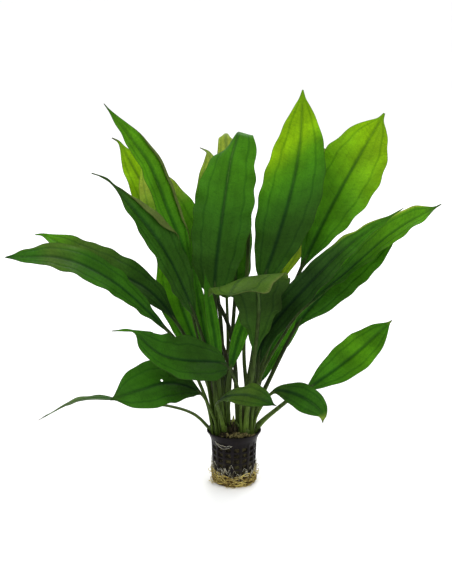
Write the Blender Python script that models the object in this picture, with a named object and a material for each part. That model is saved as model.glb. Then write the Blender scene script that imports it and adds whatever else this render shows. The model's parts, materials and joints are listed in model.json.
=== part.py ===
"""A sword plant in a net pot: two crowns of long-stalked, lance-shaped leaves.

The plant stands on the flat underside of its root mat. Z is up, -Y is the front and the
origin is the middle of that underside. Lengths below are in millimetres and are turned
into metres by MM when a shape is made.
"""
import math
from collections import namedtuple

import bmesh
import bpy
from mathutils import Vector

MM = 0.001
GAP = 0.3                # clearance between pieces that touch in the real plant

# Net pot: a tapered basket with a flared collar, 55 mm across its rim.
RIM_RADIUS = 27.4
RIM_TOP = 55.0
RIM_DEPTH = 3.0          # the steeper band under the rim, and how far it flares
RIM_FLARE = 0.9
COLLAR_FOOT = 45.0
BODY_TOP_RADIUS = 22.5
BODY_FOOT_RADIUS = 21.0
POT_FLOOR = 5.0
POT_WALL = 1.0
WINDOW_COLUMNS = 16
WINDOW_ROWS = 5
WINDOW_SHARE = 0.62      # part of each column's pitch that is open
WINDOW_HEIGHT = 4.0
WINDOW_PITCH = 6.0
LOWEST_WINDOW = 14.0

# Root mat: the woven skin of roots round the pot's foot.
MAT_TOP = 18.0
MAT_RADIUS = 22.7
MAT_FOOT_RADIUS = 21.4
MAT_WALL = 0.8
MAT_HEEL = (22.4, 2.0)   # radius and height where its side turns in to the underside

# Rock wool: the plug that fills the pot.
WOOL_CLEARANCE = 1.5     # from the pot's outer radius to the plug's
WOOL_SHOULDER = (21.4, 46.5)
WOOL_CAP_RADIUS = 20.0
WOOL_TOP = 49.0

# Crowns: the short stocks that the leaves spring from.
CROWN_RADIUS = 8.2
CROWN_TOP = 52.0
CROWN_ROUNDING = 0.7
CROWN_SIDES = 16
LEFT_CROWN = (-14.5, 0.0)
RIGHT_CROWN = (12.0, 0.0)

# Leaves: every stalk starts on one of two rings of each crown.
INNER_RING = 3.1
OUTER_RING = 7.0
STALK_START = CROWN_TOP + GAP
STALK_RISE = 9.0         # height over which a stalk leaves its crown upright
STALK_LEAN = 1.5
STALK_WIDTH = 3.5
STALK_DEPTH = 2.0
NECK_WIDTH = 3.0         # a stalk's width where its blade begins
RIB_DEPTH = 1.3          # thickness of a blade along its midrib
BLADE_DEPTH = 0.7        # thickness of a blade halfway to its margin
TIP_THINNING = 0.6       # share of both that is gone at the tip
TIP_SCALE = 0.02         # a tip's width as a share of its blade's
TAIL_WIDTH = 0.2         # and a drawn-out tip's, where it leaves the blade
TAIL_OVERLAP = 0.4       # share of a drawn-out tip that the rounded blade runs into
BLADE_FULLNESS = 0.66    # less makes every blade blunter at both ends
ROUND_BASE = 0.12        # share of a blade over which its section goes from round to flat
STALK_RINGS = 4
BLADE_STATIONS = (0.07, 0.16, 0.28, 0.41, 0.54, 0.67, 0.78, 0.86, 0.92, 0.96, 1.0)
SAMPLES = 24             # points read from the spine between two of its own points

Leaf = namedtuple(
    "Leaf", "name crown ring angle route width blade face tip_face fold tip_fold full tail",
    defaults=(8, 8, 0.5, 0.08))

# Each leaf: name, crown, ring and angle of its foot, the points that its midrib passes
# after the foot, blade width, the share of the midrib that is stalk, and the way its upper
# side faces at the blade's base and at its tip. Some also give how far the halves fold up
# there, in degrees, where along the blade it is widest, and the share that is drawn-out tip.
LEAVES = (
    Leaf("leaf_tall_middle", RIGHT_CROWN, INNER_RING, 172,
         ((20, 2, 143), (28, 6, 204), (42, 10, 248), (57, 16, 302), (64, 20, 346),
          (66, 24, 394)),
         60, 0.44, (-0.1, -1, 0.2), (0.1, -1, 0.3), full=0.52, tail=0.07),
    Leaf("leaf_tall_right", RIGHT_CROWN, INNER_RING, 100,
         ((28, 10, 120), (53, 22, 184), (68, 30, 217), (97, 44, 274), (124, 58, 321),
          (150, 70, 364)),
         66, 0.50, (-0.2, -1, 0.2), (-0.3, -1, 0.4), full=0.62, tail=0.07),
    Leaf("leaf_back_right", RIGHT_CROWN, OUTER_RING, 82,
         ((24, 32, 140), (46, 62, 198), (67, 94, 254), (95, 128, 318)),
         50, 0.48, (0, -1, 0.2), (0, -1, 0.4), full=0.6, tail=0.04),
    Leaf("leaf_tall_left", LEFT_CROWN, INNER_RING, 36,
         ((-15, -4, 140), (-19, -4, 207), (-12, -2, 272), (-3, 6, 330), (5, 24, 355),
          (-2, 54, 332)),
         58, 0.40, (0, -1, 0.1), (0, 0.2, 1), fold=6, tip_fold=-30, full=0.44),
    Leaf("leaf_back_left", LEFT_CROWN, OUTER_RING, 31,
         ((-2, 22, 143), (2, 56, 206), (-1, 92, 271), (-8, 114, 325), (-8, 126, 334),
          (-9, 142, 327)),
         44, 0.44, (0, -1, 0.3), (0, -0.4, 1), full=0.36, tail=0.04),
    Leaf("leaf_back_hooked", LEFT_CROWN, OUTER_RING, 67,
         ((-12, 24, 142), (-19, 50, 208), (-23, 80, 284), (-25, 98, 316), (-35, 110, 322)),
         36, 0.50, (0, -1, 0.3), (0, -0.6, 1), tail=0.15),
    Leaf("leaf_upper_left", LEFT_CROWN, INNER_RING, 180,
         ((-34, 4, 158), (-46, 6, 227), (-64, 2, 278), (-81, -4, 325), (-99, -8, 353),
          (-123, -12, 386)),
         24, 0.42, (0.5, -0.8, 0.3), (0.5, -0.8, 0.4), fold=10, tip_fold=10, full=0.55),
    Leaf("leaf_upper_left_lower", LEFT_CROWN, INNER_RING, 108,
         ((-34, 18, 139), (-60, 42, 232), (-85, 60, 281), (-104, 70, 314), (-116, 76, 334),
          (-123, 77, 338)),
         40, 0.38, (0.4, -0.9, 0.3), (0.5, -0.8, 0.5), full=0.58, tail=0.1),
    Leaf("leaf_crossing", RIGHT_CROWN, OUTER_RING, 190,
         ((-2, -2, 150), (-22, 10, 196), (-52, 26, 244), (-74, 40, 286), (-93, 48, 322)),
         36, 0.50, (0.1, -1, 0.2), (0.2, -1, 0.3), fold=12, tip_fold=12),
    Leaf("leaf_left_rolled", LEFT_CROWN, OUTER_RING, 283,
         ((-27, -18, 144), (-48, -36, 210), (-68, -54, 257), (-95, -70, 298), (-115, -78, 325),
          (-130, -82, 333)),
         34, 0.42, (0.5, -0.7, 0.5), (0.4, -0.6, 0.7), fold=10, tip_fold=16, full=0.5, tail=0.3),
    Leaf("leaf_left_broad", LEFT_CROWN, OUTER_RING, 103,
         ((-26, 20, 106), (-38, 34, 133), (-55, 52, 175), (-63, 66, 219), (-69, 74, 249)),
         42, 0.30, (0, -1, 0.3), (0, -1, 0.4), full=0.55),
    Leaf("leaf_reaching_left", LEFT_CROWN, OUTER_RING, 211,
         ((-29, -14, 96), (-51, -28, 151), (-69, -38, 175), (-95, -54, 207), (-122, -68, 233),
          (-161, -82, 254), (-210, -92, 257)),
         36, 0.40, (0.4, -0.6, 0.6), (0.1, -0.5, 0.9), full=0.62, tail=0.04),
    Leaf("leaf_reaching_behind", LEFT_CROWN, OUTER_RING, 139,
         ((-24, 12, 92), (-46, 14, 144), (-76, 17, 187), (-105, 20, 207), (-148, 24, 226),
          (-185, 26, 248), (-197, 26, 250)),
         28, 0.40, (0.4, -0.6, 0.7), (0.2, -0.6, 0.8), full=0.6, tail=0.1),
    Leaf("leaf_low_left_upper", RIGHT_CROWN, OUTER_RING, 226,
         ((6, -22, 99), (-8, -44, 137), (-33, -62, 147), (-60, -80, 156), (-78, -92, 170),
          (-94, -98, 188), (-113, -100, 189)),
         52, 0.40, (0.1, -0.6, 0.8), (0.1, -0.5, 0.9), full=0.44, tail=0.26),
    Leaf("leaf_low_left_lower", LEFT_CROWN, OUTER_RING, 247,
         ((-21, -14, 75), (-34, -28, 104), (-62, -52, 122), (-90, -70, 121), (-118, -78, 114)),
         52, 0.34, (0, -0.6, 0.8), (0, -0.8, 0.7), full=0.6),
    Leaf("leaf_low_left_edge", LEFT_CROWN, OUTER_RING, 175,
         ((-30, 2, 64), (-54, 8, 75), (-85, 14, 76), (-126, 22, 80), (-162, 30, 74),
          (-202, 36, 51)),
         26, 0.55, (0, 0.15, 1), (-0.3, 0.1, 1), fold=4, tip_fold=4, tail=0.2),
    Leaf("leaf_low_front", LEFT_CROWN, OUTER_RING, 319,
         ((-12, -14, 72), (-18, -34, 93), (-5, -56, 110), (16, -84, 120), (39, -100, 116)),
         27, 0.40, (0, -0.6, 0.8), (0.2, -0.8, 0.6), full=0.66),
    Leaf("leaf_low_right_drooping", RIGHT_CROWN, OUTER_RING, 334,
         ((24, -12, 78), (39, -26, 104), (58, -40, 107), (74, -54, 103), (84, -61, 95),
          (85, -65, 86)),
         27, 0.44, (-0.1, -0.8, 0.7), (-0.2, -1, 0.2), full=0.6),
    Leaf("leaf_low_right", RIGHT_CROWN, OUTER_RING, 10,
         ((28, 6, 61), (55, 20, 79), (77, 32, 88), (122, 52, 115), (164, 72, 148)),
         38, 0.40, (-0.1, -0.9, 0.4), (-0.2, -0.9, 0.4), full=0.55),
    Leaf("leaf_reaching_right", RIGHT_CROWN, INNER_RING, 316,
         ((24, 0, 105), (44, 2, 145), (65, 6, 176), (112, 6, 218), (156, 2, 259),
          (200, -2, 287)),
         30, 0.44, (-0.6, -0.3, 0.8), (-0.5, -0.5, 0.8), fold=14, tip_fold=14, full=0.7, tail=0.08),
    Leaf("leaf_dark_right", RIGHT_CROWN, OUTER_RING, 298,
         ((22, -17, 108), (27, -26, 153), (48, -34, 189), (72, -36, 216), (95, -34, 241),
          (123, -30, 264), (161, -24, 288)),
         27, 0.26, (-0.4, -0.8, 0.4), (-0.4, -0.6, 0.7), fold=8, tip_fold=12, full=0.45, tail=0.1),
    Leaf("leaf_lower_right", RIGHT_CROWN, INNER_RING, 28,
         ((34, 8, 102), (62, 10, 160), (85, 14, 189), (114, 18, 223), (165, 22, 260)),
         40, 0.44, (-0.2, -1, 0.3), (-0.2, -0.9, 0.4), full=0.58),
    Leaf("leaf_narrow_right", RIGHT_CROWN, OUTER_RING, 46,
         ((25, 13, 96), (35, 25, 128), (51, 37, 149), (75, 50, 172)),
         28, 0.34, (0.3, -0.9, 0.2), (0.3, -0.9, 0.3), fold=14, tip_fold=14),
    Leaf("leaf_arching_centre", RIGHT_CROWN, OUTER_RING, 262,
         ((17, -22, 114), (23, -42, 184), (22, -50, 214), (15, -64, 231), (3, -88, 233),
          (-6, -116, 227)),
         70, 0.57, (0, 1, 0.1), (-0.1, -0.2, 1), fold=-6, tip_fold=-16, full=0.56),
    Leaf("leaf_young_centre", LEFT_CROWN, OUTER_RING, 355,
         ((-6, -6, 106), (3, -12, 150), (11, -16, 181), (14, -14, 214)),
         16, 0.42, (0, -1, 0.1), (0.2, -1, 0.2), fold=16, tip_fold=16),
    Leaf("leaf_young_left", LEFT_CROWN, INNER_RING, 252,
         ((-20, -6, 105), (-27, -10, 148), (-34, -14, 190), (-41, -18, 234)),
         15, 0.34, (0.2, -1, 0.1), (0.2, -1, 0.2), fold=16, tip_fold=16),
    Leaf("leaf_young_middle", LEFT_CROWN, INNER_RING, 324,
         ((-15, -10, 105), (-18, -20, 150), (-23, -24, 186), (-29, -26, 229)),
         13, 0.34, (0.2, -1, 0.1), (0.2, -1, 0.2), fold=16, tip_fold=16),
)

# Colour, roughness and metallic value of each material.
FINISHES = {
    "black_plastic": ((0.012, 0.012, 0.013), 0.45, 0.0),
    "rock_wool_brown": ((0.16, 0.12, 0.05), 0.95, 0.0),
    "root_straw": ((0.45, 0.34, 0.12), 0.8, 0.0),
    "crown_brown": ((0.10, 0.08, 0.03), 0.8, 0.0),
    "leaf_green": ((0.06, 0.20, 0.02), 0.4, 0.0),
}


def make_material(name):
    """Make one Principled material from its line in FINISHES."""
    colour, roughness, metallic = FINISHES[name]
    material = bpy.data.materials.new(name)
    material.use_nodes = True
    shader = material.node_tree.nodes["Principled BSDF"]
    shader.inputs["Base Color"].default_value = (*colour, 1.0)
    shader.inputs["Roughness"].default_value = roughness
    shader.inputs["Metallic"].default_value = metallic
    return material


def add_object(name, mesh_data, material):
    """Put a bmesh in the scene as one named object; its lengths are still millimetres."""
    bmesh.ops.scale(mesh_data, vec=(MM, MM, MM), verts=mesh_data.verts)
    bmesh.ops.recalc_face_normals(mesh_data, faces=mesh_data.faces)
    mesh = bpy.data.meshes.new(name)
    mesh_data.to_mesh(mesh)
    mesh_data.free()
    mesh.materials.append(material)
    mesh.shade_smooth()
    mesh.set_sharp_from_angle(angle=math.radians(40))
    thing = bpy.data.objects.new(name, mesh)
    bpy.context.scene.collection.objects.link(thing)
    return thing


def extrude_ring(mesh_data, ring, places):
    """Extrude a closed ring of vertices once and move the new ring to places."""
    edges = [mesh_data.edges.get((a, b)) for a, b in zip(ring, ring[1:] + ring[:1])]
    made = bmesh.ops.extrude_edge_only(mesh_data, edges=edges)["geom"]
    fresh = {vert for vert in made if isinstance(vert, bmesh.types.BMVert)}
    next_ring = []
    for vert, place in zip(ring, places):
        new = next(edge.other_vert(vert) for edge in vert.link_edges
                   if edge.other_vert(vert) in fresh)
        next_ring.append(new)
        new.co = place
    return next_ring


def turned_solid(profile, sides, centre=(0.0, 0.0)):
    """A solid turned about a vertical axis from (radius, height) points, closed at both ends."""
    mesh_data = bmesh.new()
    ring = list(bmesh.ops.create_circle(mesh_data, cap_ends=True, segments=sides,
                                        radius=1.0)["verts"])
    directions = [Vector((vert.co.x, vert.co.y, 0.0)) for vert in ring]
    middle = Vector((centre[0], centre[1], 0.0))

    def places(radius, height):
        return [middle + way * radius + Vector((0, 0, height)) for way in directions]

    for vert, place in zip(ring, places(*profile[0])):
        vert.co = place
    for radius, height in profile[1:]:
        ring = extrude_ring(mesh_data, ring, places(radius, height))
    bmesh.ops.contextual_create(mesh_data, geom=ring)
    return mesh_data


def body_radius(height):
    """Outer radius of the pot's tapered body at a height."""
    share = (height - POT_FLOOR) / (COLLAR_FOOT - POT_FLOOR)
    return BODY_FOOT_RADIUS + share * (BODY_TOP_RADIUS - BODY_FOOT_RADIUS)


def window_levels():
    """Heights of the sills and heads of the window rows, from the bottom up."""
    levels = []
    for row in range(WINDOW_ROWS):
        sill = LOWEST_WINDOW + row * WINDOW_PITCH
        levels += [sill, sill + WINDOW_HEIGHT]
    return levels


def make_net_pot(material):
    """The basket: one skin with its windows left out, thickened inwards."""
    levels = window_levels()
    profile = [(body_radius(POT_FLOOR), POT_FLOOR)]
    profile += [(body_radius(level), level) for level in levels]
    profile += [(BODY_TOP_RADIUS, COLLAR_FOOT), (RIM_RADIUS - RIM_FLARE, RIM_TOP - RIM_DEPTH),
                (RIM_RADIUS, RIM_TOP)]
    pitch = math.tau / WINDOW_COLUMNS
    angles = []
    for column in range(WINDOW_COLUMNS):
        start = column * pitch
        angles += [start, start + pitch * WINDOW_SHARE]
    mesh_data = bmesh.new()
    ring = list(bmesh.ops.create_circle(mesh_data, cap_ends=True, segments=len(angles),
                                        radius=1.0)["verts"])

    def places(radius, height):
        return [Vector((radius * math.cos(a), radius * math.sin(a), height)) for a in angles]

    for vert, place in zip(ring, places(*profile[0])):
        vert.co = place
    windows = []
    for index, (radius, height) in enumerate(profile[1:], start=1):
        next_ring = extrude_ring(mesh_data, ring, places(radius, height))
        if index % 2 == 0 and index <= len(levels):
            for side in range(0, len(angles), 2):
                corners = {ring[side], ring[side + 1], next_ring[side], next_ring[side + 1]}
                windows += [face for face in next_ring[side].link_faces
                            if set(face.verts) == corners]
        ring = next_ring
    bmesh.ops.delete(mesh_data, geom=windows, context="FACES_ONLY")
    pot = add_object("net_pot", mesh_data, material)
    wall = pot.modifiers.new("wall", "SOLIDIFY")
    wall.thickness = POT_WALL * MM
    wall.offset = -1.0
    return pot


def make_root_mat(material):
    """The cup of woven roots that the pot stands in, with a flat underside."""
    inside = MAT_RADIUS - MAT_WALL
    foot_inside = body_radius(POT_FLOOR) + GAP
    profile = [(MAT_FOOT_RADIUS, 0.0), MAT_HEEL, (MAT_RADIUS, MAT_TOP / 2),
               (MAT_RADIUS, MAT_TOP), (inside, MAT_TOP), (foot_inside, POT_FLOOR - GAP)]
    return add_object("root_mat", turned_solid(profile, 24), material)


def make_rock_wool(material):
    """The plug of rock wool, a little domed above the pot's body."""
    floor = POT_FLOOR + POT_WALL + GAP
    profile = [(body_radius(floor) - WOOL_CLEARANCE, floor),
               (body_radius(COLLAR_FOOT) - WOOL_CLEARANCE, COLLAR_FOOT),
               WOOL_SHOULDER, (WOOL_CAP_RADIUS, WOOL_TOP)]
    return add_object("rock_wool", turned_solid(profile, 24), material)


def make_crown(name, centre, material):
    """The short stock that carries one bunch of stalks."""
    foot = WOOL_TOP + GAP
    inside = CROWN_RADIUS - CROWN_ROUNDING
    profile = [(inside, foot), (CROWN_RADIUS, foot + CROWN_ROUNDING),
               (CROWN_RADIUS, CROWN_TOP - CROWN_ROUNDING), (inside, CROWN_TOP)]
    return add_object(name, turned_solid(profile, CROWN_SIDES, centre), material)


def smooth_path(points):
    """Points read evenly from a smooth curve through the given ones."""
    ends = [points[0] * 2 - points[1]] + points + [points[-1] * 2 - points[-2]]
    path = []
    for a, b, c, d in zip(ends, ends[1:], ends[2:], ends[3:]):
        for step in range(SAMPLES):
            t = step / SAMPLES
            path.append(0.5 * (2 * b + (c - a) * t + (2 * a - 5 * b + 4 * c - d) * t ** 2
                               + (3 * b - a - 3 * c + d) * t ** 3))
    path.append(points[-1])
    return path


def read_along(path, share):
    """The point at a share of the path's length, and the path's direction there."""
    steps = [(b - a).length for a, b in zip(path, path[1:])]
    left = share * sum(steps)
    for index, step in enumerate(steps):
        if left <= step or index == len(steps) - 1:
            break
        left -= step
    place = path[index].lerp(path[index + 1], min(left / step, 1.0))
    before = path[max(index - 2, 0)]
    after = path[min(index + 3, len(path) - 1)]
    return place, (after - before).normalized()


def blade_half_width(leaf, share):
    """Half the blade's width at a share of its length, from its base to its tip."""
    body = min(share / (1 - (1 - TAIL_OVERLAP) * leaf.tail), 0.999)
    rounded = math.sin(math.pi * body ** (math.log(0.5) / math.log(leaf.full))) ** BLADE_FULLNESS
    drawn_out = TAIL_WIDTH * min((1 - share) / leaf.tail, 1.0)
    neck = NECK_WIDTH * (1 - share) ** 2
    return 0.5 * max(leaf.width * max(rounded, drawn_out * share, TIP_SCALE), neck)


def leaf_section(half_width, stalk_share, depth_share, fold):
    """Eight corners of a leaf's cross section, as (across, up) pairs from its midrib."""
    half_stalk = 0.5 * STALK_DEPTH
    round_side = math.sqrt(0.5)
    quarter = round_side * stalk_share + 0.5 * (1 - stalk_share)
    rib = half_stalk * stalk_share + 0.5 * RIB_DEPTH * depth_share * (1 - stalk_share)
    flesh = (half_stalk * round_side * stalk_share
             + 0.5 * BLADE_DEPTH * depth_share * (1 - stalk_share))
    lift = math.sin(math.radians(fold)) * (1 - stalk_share)
    spread = math.cos(math.radians(fold)) * (1 - stalk_share) + stalk_share
    corners = ((1, 0), (quarter, flesh), (0, rib), (-quarter, flesh),
               (-1, 0), (-quarter, -flesh), (0, -rib), (quarter, -flesh))
    return [(side * half_width * spread, up + abs(side) * half_width * lift)
            for side, up in corners]


def split_walls(ring, next_ring):
    """Cut the faces between two rings so that both walls of a twisted blade bend alike."""
    sides = len(ring)
    for side in range(sides):
        after = (side + 1) % sides
        corners = {ring[side], ring[after], next_ring[side], next_ring[after]}
        wall = next(face for face in next_ring[side].link_faces if set(face.verts) == corners)
        if side < sides // 2:
            bmesh.utils.face_split(wall, ring[side], next_ring[after])
        else:
            bmesh.utils.face_split(wall, ring[after], next_ring[side])


def make_leaf(leaf, material):
    """One leaf from the foot of its stalk to its tip, extruded ring by ring."""
    angle = math.radians(leaf.angle)
    outward = Vector((math.cos(angle), math.sin(angle), 0.0))
    foot = Vector((leaf.crown[0], leaf.crown[1], STALK_START)) + outward * leaf.ring
    knee = foot + outward * STALK_LEAN + Vector((0, 0, STALK_RISE))
    path = smooth_path([foot, knee] + [Vector(point) for point in leaf.route])
    base_face = Vector(leaf.face).normalized()
    tip_face = Vector(leaf.tip_face).normalized()
    stations = [leaf.blade * step / STALK_RINGS for step in range(STALK_RINGS + 1)]
    stations += [leaf.blade + (1 - leaf.blade) * share for share in BLADE_STATIONS]
    mesh_data = bmesh.new()
    ring = list(bmesh.ops.create_circle(mesh_data, cap_ends=True, segments=8,
                                        radius=1.0)["verts"])
    for index, station in enumerate(stations):
        place, along = read_along(path, station)
        if station <= leaf.blade:
            share = station / leaf.blade
            face = (-outward).slerp(base_face, share ** 2 * (3 - 2 * share))
            half_width = 0.5 * (STALK_WIDTH + (NECK_WIDTH - STALK_WIDTH) * share)
            stalk_share, depth_share, fold = 1.0, 1.0, 0.0
        else:
            share = (station - leaf.blade) / (1 - leaf.blade)
            face = base_face.slerp(tip_face, share)
            half_width = blade_half_width(leaf, share)
            stalk_share = max(1 - share / ROUND_BASE, 0.0)
            depth_share = 1 - TIP_THINNING * share
            fold = leaf.fold + (leaf.tip_fold - leaf.fold) * share
        if index == 0:
            along = Vector((0, 0, 1))
        across = along.cross(face).normalized()
        upward = across.cross(along)
        places = [place + across * side + upward * up for side, up
                  in leaf_section(half_width, stalk_share, depth_share, fold)]
        if index == 0:
            for vert, spot in zip(ring, places):
                vert.co = spot
        else:
            next_ring = extrude_ring(mesh_data, ring, places)
            split_walls(ring, next_ring)
            ring = next_ring
    bmesh.ops.contextual_create(mesh_data, geom=ring)
    return add_object(leaf.name, mesh_data, material)


def main():
    for thing in list(bpy.data.objects):
        bpy.data.objects.remove(thing)
    materials = {name: make_material(name) for name in FINISHES}
    make_root_mat(materials["root_straw"])
    make_net_pot(materials["black_plastic"])
    make_rock_wool(materials["rock_wool_brown"])
    make_crown("crown_left", LEFT_CROWN, materials["crown_brown"])
    make_crown("crown_right", RIGHT_CROWN, materials["crown_brown"])
    for leaf in LEAVES:
        make_leaf(leaf, materials["leaf_green"])


main()
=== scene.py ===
"""Looks of a sword plant in a net pot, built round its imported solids.

Laid out as an add-on and run as a script. Lengths are metres, Z is up and -Y is the front.
"""

import json
import math
from collections import namedtuple

import bmesh
import bpy
import numpy as np
from bpy.props import FloatProperty, FloatVectorProperty, IntProperty, PointerProperty
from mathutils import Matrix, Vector, noise

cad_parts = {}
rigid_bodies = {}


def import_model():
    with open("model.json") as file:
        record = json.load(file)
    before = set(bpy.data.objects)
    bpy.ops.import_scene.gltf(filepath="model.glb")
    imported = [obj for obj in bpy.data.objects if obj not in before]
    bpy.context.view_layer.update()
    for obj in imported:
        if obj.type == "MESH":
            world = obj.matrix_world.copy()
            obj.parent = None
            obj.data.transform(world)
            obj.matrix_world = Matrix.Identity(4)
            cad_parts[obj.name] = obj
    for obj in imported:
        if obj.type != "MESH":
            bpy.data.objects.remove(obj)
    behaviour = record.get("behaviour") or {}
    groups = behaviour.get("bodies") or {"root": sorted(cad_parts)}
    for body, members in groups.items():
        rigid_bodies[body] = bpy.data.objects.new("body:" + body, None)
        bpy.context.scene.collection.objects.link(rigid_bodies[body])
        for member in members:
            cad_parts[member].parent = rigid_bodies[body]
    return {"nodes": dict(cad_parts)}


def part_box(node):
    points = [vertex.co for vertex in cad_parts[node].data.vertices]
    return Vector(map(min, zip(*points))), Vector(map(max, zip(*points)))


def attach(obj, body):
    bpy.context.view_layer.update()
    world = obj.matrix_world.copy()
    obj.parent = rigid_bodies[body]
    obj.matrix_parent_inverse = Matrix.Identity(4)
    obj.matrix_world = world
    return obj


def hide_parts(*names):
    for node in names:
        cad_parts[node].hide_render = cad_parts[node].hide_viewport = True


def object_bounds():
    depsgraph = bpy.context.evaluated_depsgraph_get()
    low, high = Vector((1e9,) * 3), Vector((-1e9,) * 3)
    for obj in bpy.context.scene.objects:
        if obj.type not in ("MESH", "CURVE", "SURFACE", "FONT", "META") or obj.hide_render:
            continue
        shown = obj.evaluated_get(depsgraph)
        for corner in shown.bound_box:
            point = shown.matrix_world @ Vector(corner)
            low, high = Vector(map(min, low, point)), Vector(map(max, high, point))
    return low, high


bl_info = {
    "name": "Sword Plant in a Net Pot",
    "version": (1, 0, 0),
    "blender": (4, 5, 0),
    "location": "3D View > Sidebar > Sword Plant",
    "description": "Builds the leaves, pot, rock wool and roots of a potted sword plant",
    "category": "Add Mesh",
}

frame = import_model()
BODY = "root"
CAD_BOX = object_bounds()

MERGE = 1e-5                 # corners closer than this are one corner
CORNERS = 8                  # corners in each section of a leaf's solid
STALK_SECTIONS = 5           # sections from a stalk's foot to the start of its blade
CROWNS = ("crown_left", "crown_right")


# ---- Sizes and colours that a user would change ----

def length(name, description, default):
    """A length setting in metres."""
    return FloatProperty(name=name, description=description, default=default, min=0.0,
                         unit="LENGTH", precision=5)


def colour(name, description, default):
    """A colour setting."""
    return FloatVectorProperty(name=name, description=description, default=default, size=3,
                               min=0.0, max=1.0, subtype="COLOR")


class StageSettings(bpy.types.PropertyGroup):
    """Floor and camera."""
    floor: colour("Floor", "Colour of the floor", (0.95, 0.95, 0.95))
    camera_side: FloatProperty(name="Camera sideways", description="Camera's X",
                               default=-0.008, unit="LENGTH")
    camera_distance: length("Camera distance", "How far in front the camera stands", 1.449)
    camera_height: length("Camera height", "How high the camera stands", 0.603)
    camera_tilt: FloatProperty(name="Camera tilt", description="How far the camera looks down",
                               default=math.radians(15.6), subtype="ANGLE")
    lens: FloatProperty(name="Lens", description="Focal length in millimetres", default=94.4)


class LeafSettings(bpy.types.PropertyGroup):
    """Leaf thickness, relief and greens."""
    thickness: length("Blade thickness", "Thickness of the blade between its veins", 0.00045)
    vein_depth: length("Vein depth", "How deep the veins lie in the upper side", 0.00025)
    row: length("Row length", "Length of one row of faces along a blade", 0.0019)
    columns: IntProperty(name="Columns", description="Faces across a blade", default=32)
    sides: IntProperty(name="Stalk sides", description="Faces round a stalk", default=14)
    sheath: length("Sheath", "Extra half width of a stalk where it leaves its crown", 0.0014)
    # These greens were read from the leaves as lit. The lime, bright and gold are partly the
    # leaves' own colour and partly painted light coming through the blades towards their tips. The
    # deep and shade are partly painted shade towards their feet.
    deep: colour("Deep green", "Shaded old leaf", (0.014, 0.046, 0.006))
    shade: colour("Shade green", "Lower leaf", (0.027, 0.088, 0.008))
    green: colour("Green", "Full-grown leaf", (0.035, 0.134, 0.008))
    fresh: colour("Fresh green", "Younger leaf", (0.055, 0.205, 0.007))
    bright: colour("Bright green", "Young leaf near its tip", (0.088, 0.270, 0.006))
    lime: colour("Lime", "Thin young leaf", (0.225, 0.430, 0.004))
    gold: colour("Gold", "Pale yellowing rim", (0.330, 0.440, 0.050))
    blush: colour("Blush", "Pale underside in a rolled margin", (0.130, 0.170, 0.040))
    olive: colour("Olive", "Underside seen in a roll", (0.066, 0.135, 0.016))
    brown: colour("Brown", "Dry tip", (0.120, 0.075, 0.020))


class PotSettings(bpy.types.PropertyGroup):
    """The net pot's plastic."""
    plastic: colour("Plastic", "Colour of the moulded plastic", (0.0050, 0.0040, 0.0040))
    wall: length("Wall", "Thickness of the moulding", 0.0010)
    rounding: length("Rounding", "Radius on the moulding's edges", 0.00022)


class WoolSettings(bpy.types.PropertyGroup):
    """The rock wool plug."""
    pale: colour("Pale wool", "Clean fibre", (0.105, 0.090, 0.036))
    dark: colour("Dark wool", "Wet fibre", (0.012, 0.009, 0.004))
    lump: length("Lump height", "How far clumps stand out of the plug's top", 0.0022)
    mound: length("Mound", "How much higher the wool is in front of and behind the crowns", 0.0046)
    clumps: IntProperty(name="Clumps", description="Loose tufts on top", default=70)
    fibres: IntProperty(name="Fibres", description="Loose fibres on top", default=320)


class RootSettings(bpy.types.PropertyGroup):
    """Woven straw roots and white root tips."""
    straw: colour("Straw", "Pale woven root", (0.640, 0.530, 0.150))
    amber: colour("Amber", "Older woven root", (0.090, 0.055, 0.012))
    white: colour("White root", "New root", (0.600, 0.590, 0.480))
    strand: length("Strand radius", "Radius of a woven root", 0.00031)
    strands: IntProperty(name="Strands", description="Woven roots", default=230)
    loose: IntProperty(name="Loose roots", description="Roots that stand out", default=100)
    white_roots: IntProperty(name="White roots", description="New roots on the pot", default=110)


class CrownSettings(bpy.types.PropertyGroup):
    """Crowns, dry sheaths and sprout."""
    stock: colour("Stock", "Living crown", (0.070, 0.085, 0.025))
    dry: colour("Dry sheath", "Dead leaf base", (0.018, 0.014, 0.007))
    sprout: colour("Sprout", "New shoot", (0.460, 0.520, 0.120))
    sheaths: IntProperty(name="Sheaths", description="Dry sheaths round each crown", default=13)


# ---- Material helper ----

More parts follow.
